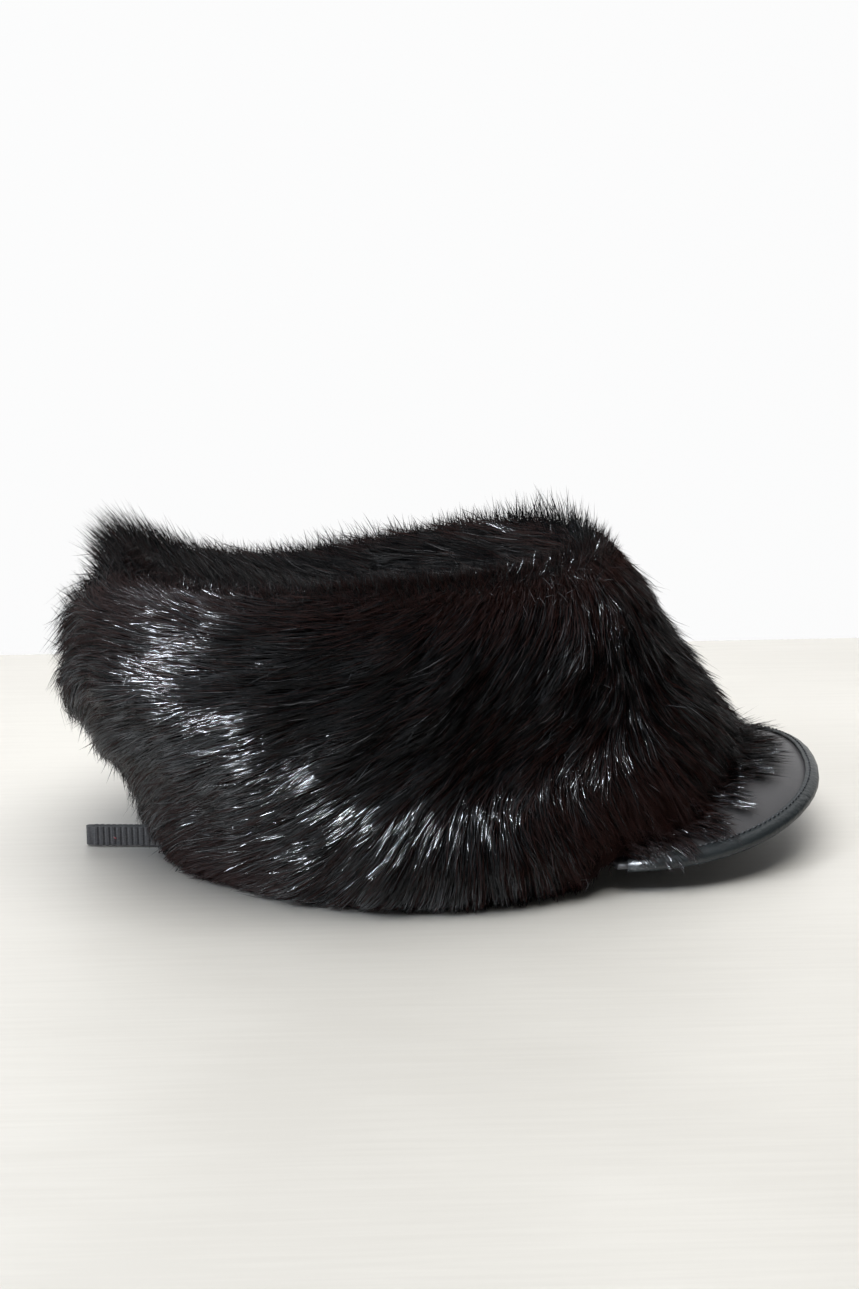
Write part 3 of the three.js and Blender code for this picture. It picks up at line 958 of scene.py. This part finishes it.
@dataclass
class Coat:
    """Hairs on one pelt, in joined meshes of tapered strips.

    Hair follows guide paths, one from each outer point of the pelt. A guide walks over the surface in
    strides. inertia is the share of its direction that it keeps at each, overhang how far aside it may be
    before it counts as past an edge, fall how strongly it then turns down, and pull the most that it moves
    back. Locks gather towards their leading hairs, at the roots by root_gather and at most by gather_limit.
    The ranges are factors between which hairs differ, and the curves are exponents on the way along a hair.
    Hair is cut short beside the ends of the peak.
    """

    body: bpy.types.Object
    flow: Flow
    comb: Comb
    head: HeadFrame
    ledge: tuple[np.ndarray, np.ndarray]
    seed: int
    reference: float = 23 * MM
    strides: int = 3
    inertia: float = 0.45
    overhang: float = 2.5 * MM
    fall: float = 0.7
    pull: float = 4 * MM
    patch_sink: float = 1.2 * MM
    patch_width: float = 0.30 * MM
    patch_ends: float = 0.45
    hairs_per_lock: int = 26
    length_range: tuple[float, float] = (0.7, 1.25)
    width_range: tuple[float, float] = (0.7, 1.3)
    lift_range: tuple[float, float] = (0.75, 1.3)
    gather_range: tuple[float, float] = (0.5, 1.2)
    root_gather: float = 0.15
    gather_limit: float = 0.92
    gather_curve: float = 1.3
    lift_curve: float = 1.15
    stray_curve: float = 1.6
    wild_share: float = 0.05
    wildness: float = 2.2
    base_brown: float = 0.12
    peak_end: float = 57.0
    peak_end_spread: float = 9.0
    peak_end_level: float = 0.3
    peak_end_fade: float = 0.15
    peak_end_cut: float = 0.62
    lowest: tuple[float, float] = (0.3 * MM, 0.5 * MM)
    points: np.ndarray = field(init=False)
    normals: np.ndarray = field(init=False)
    triangles: np.ndarray = field(init=False)
    areas: np.ndarray = field(init=False)
    way: np.ndarray = field(init=False)
    lift: np.ndarray = field(init=False)
    guides: np.ndarray = field(init=False)
    outs: np.ndarray = field(init=False)

    def prepare(self) -> None:
        """Reads the body's outer faces and draws a guide path from each of its points."""
        mesh = self.body.data
        count = len(mesh.vertices)
        points = np.zeros(count * 3)
        normals = np.zeros(count * 3)
        mesh.vertices.foreach_get("co", points)
        mesh.vertices.foreach_get("normal", normals)
        self.points = points.reshape(-1, 3)
        self.normals = unit(normals.reshape(-1, 3))
        mesh.calc_loop_triangles()
        corners = np.zeros(len(mesh.loop_triangles) * 3, dtype=np.int64)
        inside = np.zeros(len(mesh.loop_triangles), dtype=np.int64)
        mesh.loop_triangles.foreach_get("vertices", corners)
        mesh.loop_triangles.foreach_get("material_index", inside)
        self.triangles = corners.reshape(-1, 3)[inside == 0]
        a, b, c = (self.points[self.triangles[:, k]] for k in range(3))
        self.areas = np.linalg.norm(np.cross(b - a, c - a), axis=1) / 2
        lies = self.comb.wall if self.flow is Flow.WALL else self.comb.top
        self.way, self.lift = lies(self.head, self.points, self.normals)
        self._draw_guides(np.unique(self.triangles))

    def _draw_guides(self, outer: np.ndarray) -> None:
        """Walks over the surface, and out over the ledge below it, from each outer point.

        Args:
            outer: places of the outer points in the body's list.
        """
        ledge, ledge_normals = self.ledge
        away = (ledge - self.head.origin) * (1.0, 1.8, 0.0)
        away -= ledge_normals * np.sum(away * ledge_normals, axis=1, keepdims=True)
        ground = np.concatenate([self.points[outer], ledge])
        normals = np.concatenate([self.normals[outer], ledge_normals])
        way = np.concatenate([self.way[outer], unit(away)])
        tree = tree_of(ground)
        self.guides = np.repeat(self.points[:, None, :], len(STATIONS), axis=1)
        self.outs = np.repeat(self.normals[:, None, :], len(STATIONS), axis=1)
        here = self.points[outer].copy()
        near = np.arange(len(outer))
        heading = self.way[outer].copy()
        for k in range(1, len(STATIONS)):
            step = (STATIONS[k] - STATIONS[k - 1]) * self.reference / self.strides
            for _ in range(self.strides):
                heading = unit(self.inertia * heading + (1 - self.inertia) * way[near])
                into = np.minimum(np.sum(heading * normals[near], axis=1, keepdims=True), 0.0)
                heading = unit(heading - normals[near] * into)
                here = here + heading * step
                found = [tree.find(p) for p in here]
                near = np.array([place for _, place, _ in found])
                distance = np.array([gap for _, _, gap in found])[:, None]
                off = np.sum((here - ground[near]) * normals[near], axis=1, keepdims=True)
                aside = distance > np.abs(off) + self.overhang
                heading = heading + aside * np.array([0.0, 0.0, -self.fall])
                here = here - normals[near] * np.clip(off, -self.pull, self.pull) * ~aside
            self.guides[outer, k] = here
            self.outs[outer, k] = normals[near]

    def hairs(self, style: HairStyle, count: int, parts: int, material: bpy.types.Material) -> None:
        """Grows hairs all over the pelt, as one piece or as one in each sector.

        Args:
            style: the kind of hair.
            count: how many hairs.
            parts: how many sectors.
            material: their finish.
        """
        rng = np.random.default_rng(self.seed)
        paths, outs = self.growth(rng, count, style)
        angle, level = self.head.angle_and_level(paths[:, 0])
        brown = self.base_brown + style.brown * self.head.ridge_share(self.flow, paths[:, 0])
        for zone in BROWN_ZONES:
            turned = ((angle - zone.angle + 180) % 360 - 180) / zone.angle_spread
            raised = (level - zone.level) / zone.level_spread
            brown = brown + zone.share * np.exp(-(turned**2) - raised**2)
        # Black hairs that land in the last column take the grey-white tone, which is partly a painted
        # highlight.
        tone = np.where(rng.random(count) < brown, 0, BROWN_TONES) + rng.integers(0, BROWN_TONES, count)
        tone += np.where(tone >= BROWN_TONES, rng.integers(0, 3, count) * BROWN_TONES, 0)
        widths = style.width * rng.uniform(*self.width_range, count)
        kept = COARSE if style.coarse else FINE
        sector = np.floor((angle + 180) / 360 * parts).astype(int) % parts
        for part in range(parts):
            chosen = sector == part
            number = f"_{part + 1}" if parts > 1 else ""
            name = f"{self.flow.value}_{style.name}{number}"
            mesh = strips(name, paths[chosen], outs[chosen], widths[chosen], tone[chosen], kept, rng)
            keep(new_object(name, mesh, material), Slot.FUR)

    def patch(self, patch: Patch, material: bpy.types.Material) -> None:
        """Grows one patch of hairs that stand away.

        Args:
            patch: where and how they grow.
            material: their finish.
        """
        rng = np.random.default_rng(self.seed + 100)
        middle = self.points[self.triangles].mean(axis=1)
        angle, _ = self.head.angle_and_level(middle)
        turned = ((angle - patch.angle + 180) % 360 - 180) / patch.angle_spread
        raised = (1 - self.head.ridge_share(self.flow, middle)) / patch.ridge_spread
        weight = self.areas * np.exp(-(turned**2) - raised**2)
        chosen = rng.choice(len(self.triangles), patch.count, p=weight / weight.sum())
        shares = rng.dirichlet((1.0, 1.0, 1.0), patch.count)
        root = np.einsum("nc,ncs->ns", shares, self.points[self.triangles[chosen]])
        outs = np.einsum("nc,ncs->ns", shares, self.normals[self.triangles[chosen]])
        way = unit(np.array(patch.way) + rng.normal(0.0, patch.scatter, (patch.count, 3)))
        bend = np.array(patch.bend) * rng.uniform(0.3, 1.0, (patch.count, 1))
        nearness = np.exp(-(turned[chosen] ** 2) - raised[chosen] ** 2)
        whole = self.patch_ends + (1 - self.patch_ends) * nearness
        length = patch.length * rng.uniform(0.55, 1.1, patch.count) * whole
        run = np.array(STATIONS)
        paths = root[:, None] - outs[:, None] * self.patch_sink
        paths = paths + length[:, None, None] * way[:, None] * run[None, :, None]
        paths = paths + length[:, None, None] * bend[:, None] * (run**2)[None, :, None]
        outs = np.repeat(unit(outs)[:, None], len(STATIONS), axis=1)
        low, high = (int(share * TONES) for share in patch.tones)
        tone = rng.integers(low, high, patch.count)
        widths = self.patch_width * rng.uniform(0.6, 1.2, patch.count)
        mesh = strips(patch.name, paths, outs, widths, tone, COARSE if patch.coarse else FINE, rng)
        keep(new_object(patch.name, mesh, material), Slot.FUR)

    def growth(
        self,
        rng: np.random.Generator,
        count: int,
        style: HairStyle,
    ) -> tuple[np.ndarray, np.ndarray]:
        """Works out the paths of hairs.

        Args:
            rng: the random source.
            count: how many hairs.
            style: the kind of hair.

        Returns:
            The points of each path, and the outward directions along it.
        """
        middle = self.points[self.triangles].mean(axis=1)
        density = self.areas * (1 + (style.ridge - 1) * self.head.ridge_share(self.flow, middle))
        chosen = rng.choice(len(self.triangles), count, p=density / density.sum())
        weights = rng.dirichlet((1.0, 1.0, 1.0), count)
        corner = self.triangles[chosen]
        paths = np.einsum("nc,ncks->nks", weights, self.guides[corner])
        outs = unit(np.einsum("nc,ncks->nks", weights, self.outs[corner]))
        raised = np.einsum("nc,nc->n", weights, self.lift[corner])
        root = paths[:, :1].copy()
        spread = rng.uniform(*self.length_range, count)
        longer = style.length / self.reference * spread * self.trim(root[:, 0])
        paths = root + (paths - root) * longer[:, None, None]
        leader = self.leaders(rng, root[:, 0])
        run = np.array(STATIONS)
        gathered = style.clump * rng.uniform(*self.gather_range, count)
        drawn = gathered[:, None] * run[None, :] ** self.gather_curve
        middle = paths[leader] + (root - root[leader]) * self.root_gather
        paths = paths + (middle - paths) * np.clip(drawn, 0, self.gather_limit)[:, :, None]
        lock_lift = rng.uniform(*self.lift_range, count)[leader]
        hair_lift = raised * style.lift * lock_lift * rng.uniform(*self.lift_range, count)
        height = hair_lift * style.length * longer / longer.mean()
        rise = np.outer(height, run**self.lift_curve) - style.sink * (1 - run)[None, :]
        paths = paths + outs * rise[:, :, None]
        sway = rng.normal(0.0, 1.0, (count, 1, 3)) * (run**self.stray_curve)[None, :, None] * style.stray
        wild = 1.0 + self.wildness * (rng.random(count) < self.wild_share)
        paths = paths + sway * wild[:, None, None]
        floor, floor_range = self.lowest
        above = floor_range * rng.random(count)
        paths[:, :, 2] = np.maximum(paths[:, :, 2], above[:, None] + floor)
        return paths, outs

    def trim(self, roots: np.ndarray) -> np.ndarray:
        """Works out how much of its length hair keeps.

        Args:
            roots: where the hairs start.

        Returns:
            Shares, which are small low down beside the ends of the peak.
        """
        angle, level = self.head.angle_and_level(roots)
        beside = np.exp(-(((np.abs(angle) - self.peak_end) / self.peak_end_spread) ** 2))
        low = np.clip((self.peak_end_level - level) / self.peak_end_fade, 0, 1)
        return 1 - self.peak_end_cut * beside * low

    def leaders(self, rng: np.random.Generator, roots: np.ndarray) -> np.ndarray:
        """Picks the hair that each hair gathers to.

        Args:
            rng: the random source.
            roots: where the hairs start.

        Returns:
            The place of each one's nearest leader in the list.
        """
        count = len(roots)
        locks = rng.choice(count, max(count // self.hairs_per_lock, 1), replace=False)
        tree = tree_of(roots[locks])
        return locks[np.array([tree.find(p)[1] for p in roots])]


def tree_of(points: np.ndarray) -> KDTree:
    """Puts points in a tree that finds the nearest.

    Args:
        points: an array of points.

    Returns:
        The tree.
    """
    tree = KDTree(len(points))
    for place, point in enumerate(points):
        tree.insert(point, place)
    tree.balance()
    return tree


# Widths of a hair at its points, how far it may turn about its length, and how round it looks
TAPER = (0.75, 1.0, 0.72)
TILT = 0.9
ROUNDNESS = 0.55


def strips(
    name: str,
    paths: np.ndarray,
    outs: np.ndarray,
    widths: np.ndarray,
    tone: np.ndarray,
    kept: list[int],
    rng: np.random.Generator,
) -> bpy.types.Mesh:
    """Joins tapered strips along paths into one mesh, shaded as round hairs.

    Args:
        name: the mesh's name.
        paths: the points of each hair, root first.
        outs: the outward directions at them.
        widths: each hair's width.
        tone: each hair's column in the bake map.
        kept: the points that the strips keep.
        rng: the random source.

    Returns:
        The mesh.
    """
    paths = paths[:, kept]
    outs = outs[:, kept]
    run = [STATIONS[k] for k in kept]
    count, stations = paths.shape[:2]
    along = np.empty_like(paths)
    along[:, 1:-1] = paths[:, 2:] - paths[:, :-2]
    along[:, 0] = paths[:, 1] - paths[:, 0]
    along[:, -1] = paths[:, -1] - paths[:, -2]
    along = unit(along)
    across = unit(np.cross(along, outs))
    up = unit(np.cross(across, along))
    tilt = rng.uniform(-TILT, TILT, count)[:, None, None]
    side = across * np.cos(tilt) + up * np.sin(tilt)
    face = up * np.cos(tilt) - across * np.sin(tilt)
    taper = np.array(TAPER[: stations - 1])
    half = (widths[:, None] * taper[None, :])[:, :, None] / 2
    per_hair = 2 * (stations - 1) + 1
    points = np.empty((count, per_hair, 3))
    points[:, 0:-1:2] = paths[:, :-1] - side[:, :-1] * half
    points[:, 1:-1:2] = paths[:, :-1] + side[:, :-1] * half
    points[:, -1] = paths[:, -1]
    round_normals = np.empty_like(points)
    round_normals[:, 0:-1:2] = unit(face[:, :-1] * ROUNDNESS - side[:, :-1])
    round_normals[:, 1:-1:2] = unit(face[:, :-1] * ROUNDNESS + side[:, :-1])
    round_normals[:, -1] = face[:, -1]
    quads = [(2 * k, 2 * k + 1, 2 * k + 3, 2 * k + 2) for k in range(stations - 2)]
    corners = np.array([i for quad in quads for i in quad] + [per_hair - 3, per_hair - 2, per_hair - 1])
    starts = np.arange(stations - 1) * 4
    base = np.arange(count)[:, None] * per_hair
    mesh = bpy.data.meshes.new(name)
    mesh.vertices.add(count * per_hair)
    mesh.vertices.foreach_set("co", points.ravel())
    mesh.loops.add(count * len(corners))
    mesh.loops.foreach_set("vertex_index", (base + corners).ravel().astype(np.int32))
    mesh.polygons.add(count * len(starts))
    first = np.arange(count)[:, None] * len(corners) + starts
    mesh.polygons.foreach_set("loop_start", first.ravel().astype(np.int32))
    mesh.update(calc_edges=True)
    height = np.append(np.repeat(run[:-1], 2), 1.0)
    place = np.append(np.tile([0.15, 0.85], stations - 1), 0.5)
    u = (tone[:, None] + place[corners][None, :]) / TONES
    v = np.broadcast_to(0.02 + 0.96 * height[corners], u.shape)
    layer = mesh.uv_layers.new(name=BAKE_MAP)
    layer.data.foreach_set("uv", np.stack([u, v], axis=2).ravel())
    mesh.polygons.foreach_set("use_smooth", np.ones(count * len(starts), dtype=bool))
    mesh.normals_split_custom_set_from_vertices(round_normals.reshape(-1, 3).tolist())
    return mesh


@dataclass
class FurMaterials:
    """The materials that both pelts share."""

    guard: bpy.types.Material
    short: bpy.types.Material
    underfur: bpy.types.Material
    hide: bpy.types.Material


@dataclass
class Pelt:
    """One of the two pelts: its soft underfur with the coat that grows from it."""

    underfur: Underfur
    guard_hairs: int
    short_hairs: int
    sectors: int
    seed: int

    def build(
        self,
        head: HeadFrame,
        frame: dict[str, Any],
        ledge: tuple[np.ndarray, np.ndarray],
        fur: FurMaterials,
    ) -> None:
        """Makes the underfur and grows the hair.

        Args:
            head: the cap's frame.
            frame: the loaded CAD.
            ledge: points on the peak with their normals, over which hair may lie.
            fur: the materials.
        """
        body = self.underfur.build(head, frame, fur.underfur, fur.hide)
        coat = Coat(body, self.underfur.flow, Comb(), head, ledge, self.seed)
        coat.prepare()
        coat.hairs(GUARD_HAIR, self.guard_hairs, self.sectors, fur.guard)
        coat.hairs(SHORT_HAIR, self.short_hairs, 1, fur.short)
        for patch in PATCHES[self.underfur.flow]:
            coat.patch(patch, fur.guard)


# Peak and strap


@dataclass
class Peak:
    """The leather peak with its binding and its row of stitches."""

    half_width: float = 76 * MM
    end_x: float = 57 * MM
    squareness: float = 0.86
    stitch_inset: float = 3.7 * MM
    stitch_pitch: float = 2.5 * MM
    stitch_length: float = 1.6 * MM
    stitch_width: float = 0.85 * MM
    stitch_height: float = 0.05 * MM
    end_margin: float = 0.06
    sharp_edge: float = 50.0
    ledge_points: int = 6000
    ledge_end: float = 53.0
    leather: LeatherFinish = LeatherFinish((0.054, 0.053, 0.057), 0.44, 950.0, 0.05 * MM)
    binding: LeatherFinish = LeatherFinish((0.013, 0.017, 0.019), 0.40, 520.0, 0.40 * MM)
    thread: PlainFinish = PlainFinish((0.0015, 0.0015, 0.002), 0.8)

    def build(self, head: HeadFrame, frame: dict[str, Any]) -> None:
        """Makes the three pieces.

        Args:
            head: the cap's frame.
            frame: the loaded CAD.
        """
        leather = self.leather.material("peak leather")
        binding = self.binding.material("binding leather")
        thread = self.thread.material("black thread")
        board = from_bmesh("peak_leather", merged_copy(frame["nodes"]["peak"]), leather)
        board.data.set_sharp_from_angle(angle=math.radians(self.sharp_edge))
        keep(board, Slot.PEAK, "peak")
        strip = from_bmesh("peak_edge_binding", merged_copy(frame["nodes"]["peak_binding"]), binding)
        strip.data.set_sharp_from_angle(angle=math.radians(self.sharp_edge))
        keep(strip, Slot.BINDING, "peak_binding")
        keep(self.stitches(head, strip, thread), Slot.BINDING)

    def ledge(self, head: HeadFrame, frame: dict[str, Any]) -> tuple[np.ndarray, np.ndarray]:
        """Finds where hair may lie on the peak.

        Args:
            head: the cap's frame.
            frame: the loaded CAD.

        Returns:
            Points on its upper face away from its ends, with their normals.
        """
        points, normals = upper_points(frame["nodes"]["peak"], self.ledge_points)
        angle, _ = head.angle_and_level(points)
        within = np.abs(angle) < self.ledge_end
        return points[within], normals[within]

    def edge(self, head: HeadFrame, share: float, inset: float) -> Vector:
        """A place in plan on a line inside the peak's edge.

        Args:
            head: the cap's frame.
            share: from -1 at the right end to 1 at the left.
            inset: its distance from the edge.

        Returns:
            The place, at height 0.
        """
        phase = share * math.pi / 2
        reach = head.peak_reach - self.end_x
        x = self.end_x + reach * max(math.cos(phase), 0.0) ** self.squareness
        y = math.copysign(abs(math.sin(phase)) ** self.squareness, phase) * self.half_width
        inward = Vector((-(x - self.end_x) / reach**2, -y / self.half_width**2, 0.0)).normalized()
        return Vector((x + head.origin[0], y + head.origin[1], 0.0)) + inward * inset

    def stitches(
        self,
        head: HeadFrame,
        carrier: bpy.types.Object,
        thread: bpy.types.Material,
    ) -> bpy.types.Object:
        """Lays a row of short stitches along the inner side of the binding.

        Args:
            head: the cap's frame.
            carrier: the binding.
            thread: the finish.

        Returns:
            The piece.
        """
        surface = BVHTree.FromObject(carrier, bpy.context.evaluated_depsgraph_get())
        limit = 1 - self.end_margin
        walk = [self.edge(head, -limit + 2 * limit * i / 900, self.stitch_inset) for i in range(901)]
        bm = bmesh.new()
        gone = 0.0
        due = 0.0
        for a, b in zip(walk, walk[1:]):
            gone += (b - a).length
            if gone < due:
                continue
            due += self.stitch_pitch
            hit, normal, _, _ = surface.ray_cast(a + Vector((0, 0, 0.1)), Vector((0, 0, -1)))
            if hit is None:
                continue
            forward = (b - a).normalized()
            sideways = normal.cross(forward).normalized()
            forward = sideways.cross(normal)
            turn = Matrix((forward, sideways, normal)).transposed().to_4x4()
            thick = self.stitch_width / 2
            size = Matrix.Diagonal((self.stitch_length / 2, thick, thick, 1.0))
            place = Matrix.Translation(hit + normal * self.stitch_height) @ turn @ size
            bmesh.ops.create_icosphere(bm, subdivisions=2, radius=1.0, matrix=place)
        return from_bmesh("peak_stitches", bm, thread)


@dataclass
class Strap:
    """The ribbed ribbon at the back, with a coloured thread end."""

    sharp_edge: float = 28.0
    edge_radius: float = 0.18 * MM
    thread_radius: float = 0.3 * MM
    thread_length: float = 1.6 * MM
    thread_turn: float = 35.0
    thread_share: float = 0.33
    thread_height_share: float = 0.42
    ribbon: RibbonFinish = RibbonFinish()
    thread: PlainFinish = PlainFinish((0.22, 0.02, 0.03), 0.6)

    def build(self, frame: dict[str, Any]) -> None:
        """Makes the ribbon and the thread end on its right face.

        Args:
            frame: the loaded CAD.
        """
        thread = self.thread.material("red thread")
        ribbon = self.ribbon.material("ribbed ribbon")
        strap = from_bmesh("ribbed_strap", merged_copy(frame["nodes"]["back_strap"]), ribbon)
        strap.data.set_sharp_from_angle(angle=math.radians(self.sharp_edge))
        bevel = strap.modifiers.new("soft edges", "BEVEL")
        bevel.width = self.edge_radius
        bevel.segments = 2
        bevel.limit_method = "ANGLE"
        keep(strap, Slot.RIBBON, "back_strap")
        low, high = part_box("back_strap")
        x = low.x + (high.x - low.x) * self.thread_share
        surface = BVHTree.FromObject(strap, bpy.context.evaluated_depsgraph_get())
        z = low.z + self.thread_height_share * (high.z - low.z)
        hit, _, _, _ = surface.ray_cast(Vector((x, low.y - 0.02, z)), Vector((0, 1, 0)))
        bm = bmesh.new()
        turn = Matrix.Rotation(math.radians(self.thread_turn), 4, "Y")
        size = Matrix.Diagonal((self.thread_length / 2, self.thread_radius, self.thread_radius, 1.0))
        place = Matrix.Translation(hit) @ turn @ size
        bmesh.ops.create_icosphere(bm, subdivisions=2, radius=1.0, matrix=place)
        keep(from_bmesh("strap_thread_end", bm, thread), Slot.RIBBON)


# Studio


@dataclass(frozen=True)
class Lamp:
    """A square soft lamp, at a place seen from the camera's side."""

    name: str
    place: tuple[float, float, float]
    size: float
    power: float
    colour: tuple[float, float, float]
    shine: Shine


@dataclass
class Studio:
    """The table, the light, the white room and the camera.

    The camera's and the table's turns are in degrees, and lengths are in metres from the middle of the cap.
    """

    yaw: float = 2.9
    pitch: float = 16.5
    camera_place: tuple[float, float, float] = (-5.85 * MM, -1.034, 0.376)
    focal_pixels: float = 2910.0
    image_height: float = 1289.0
    sensor: float = 36.0
    table_back: float = 0.232
    table_turn: float = 4.06
    table_size: float = 3.0
    wall_place: float = 1.7
    wall_size: float = 2.6
    room_light: float = 0.04
    room_glow: float = 0.90
    window: Lamp = Lamp("window", (-0.85, -0.58, 0.98), 0.26, 155.0, (0.84, 0.91, 1.0), Shine.GLINT)
    ceiling: Lamp = Lamp("ceiling", (-0.1, 0.1, 1.8), 1.9, 48.0, (1.0, 0.99, 0.965), Shine.SOFT)
    aim: tuple[float, float, float] = (0.0, 0.0, 0.05)
    turn: Matrix = field(default_factory=Matrix)

    def build(self, head: HeadFrame) -> None:
        """Sets up everything round the cap.

        Args:
            head: the cap's frame.
        """
        turned = Matrix.Rotation(math.radians(-self.yaw), 4, "Z")
        self.turn = Matrix.Translation(Vector(head.origin)) @ turned
        self._camera()
        self._table()
        self._light(self.window)
        self._light(self.ceiling)
        self._room()
        bpy.context.scene.view_settings.view_transform = "Standard"

    def _room(self) -> None:
        """Makes the room white to look at, and dim as a light."""
        world = bpy.data.worlds.new("white room")
        world.use_nodes = True
        tree = world.node_tree
        seen = tree.nodes.new("ShaderNodeLightPath").outputs["Is Camera Ray"]
        strength = tree.nodes.new("ShaderNodeMath")
        strength.operation = "MULTIPLY_ADD"
        strength.inputs[1].default_value = self.room_glow
        strength.inputs[2].default_value = self.room_light
        tree.links.new(seen, strength.inputs[0])
        background = tree.nodes["Background"]
        background.inputs["Color"].default_value = (1.0, 1.0, 0.995, 1.0)
        tree.links.new(strength.outputs[0], background.inputs["Strength"])
        bpy.context.scene.world = world

    def _camera(self) -> None:
        """Places the camera at the photograph's angle."""
        data = bpy.data.cameras.new("camera")
        data.lens = self.focal_pixels / self.image_height * self.sensor
        data.sensor_width = self.sensor
        data.clip_start = 0.05
        data.clip_end = 50.0
        camera = bpy.data.objects.new("camera", data)
        bpy.context.scene.collection.objects.link(camera)
        tip = Matrix.Rotation(math.radians(90 - self.pitch), 4, "X")
        camera.matrix_world = self.turn @ Matrix.Translation(Vector(self.camera_place)) @ tip
        bpy.context.scene.camera = camera

    def _table(self) -> None:
        """Lays the pale table, and stands a white wall behind it."""
        turned = self.turn @ Matrix.Rotation(math.radians(self.table_turn), 4, "Z")
        bm = bmesh.new()
        middle = Vector((0.0, self.table_back - self.table_size, 0.0))
        place = turned @ Matrix.Translation(middle)
        bmesh.ops.create_grid(bm, x_segments=1, y_segments=1, size=self.table_size, matrix=place)
        from_bmesh("table", bm, TableFinish().material("brushed table"))
        bm = bmesh.new()
        place = self.turn @ Matrix.Translation(Vector((0.0, self.wall_place, 0.0)))
        place = place @ Matrix.Rotation(math.radians(90), 4, "X")
        bmesh.ops.create_grid(bm, x_segments=1, y_segments=1, size=self.wall_size, matrix=place)
        from_bmesh("white_wall", bm, GlowFinish().material("white wall"))

    def _light(self, lamp: Lamp) -> None:
        """Adds a soft lamp that looks at the cap.

        Args:
            lamp: which lamp.
        """
        data = bpy.data.lights.new(lamp.name, "AREA")
        data.size = lamp.size
        data.energy = lamp.power
        data.color = lamp.colour
        light = bpy.data.objects.new(lamp.name, data)
        light.visible_diffuse = lamp.shine is Shine.SOFT
        light.visible_glossy = lamp.shine is Shine.GLINT
        bpy.context.scene.collection.objects.link(light)
        at = self.turn @ Vector(lamp.place)
        toward = Vector(self.aim) - at
        light.matrix_world = Matrix.Translation(at) @ toward.to_track_quat("-Z", "Y").to_matrix().to_4x4()


PELTS = (
    Pelt(Underfur("wall_pelt", "wall_underfur", Flow.WALL), 84000, 46000, 4, 5),
    Pelt(Underfur("top_pelt", "top_underfur", Flow.TOP), 22000, 18000, 1, 9),
)


def main() -> None:
    """Dresses the cap and sets up its studio."""
    logging.basicConfig(level=logging.INFO, format="%(name)s: %(message)s")
    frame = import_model()
    head = HeadFrame()
    head.locate()
    soft = HairFinish(silver_and_glint_share=0.0, roughness=0.5, shine=0.14, brown_shine=0.06)
    fur = FurMaterials(
        guard=HairFinish().material("guard hair"),
        short=soft.material("underfur hair"),
        underfur=UnderfurFinish().material("underfur"),
        hide=HideFinish().material("hide"),
    )
    peak = Peak()
    ledge = peak.ledge(head, frame)
    for pelt in PELTS:
        pelt.build(head, frame, ledge, fur)
    peak.build(head, frame)
    Strap().build(frame)
    Studio().build(head)


if __name__ == "__main__":
    main()
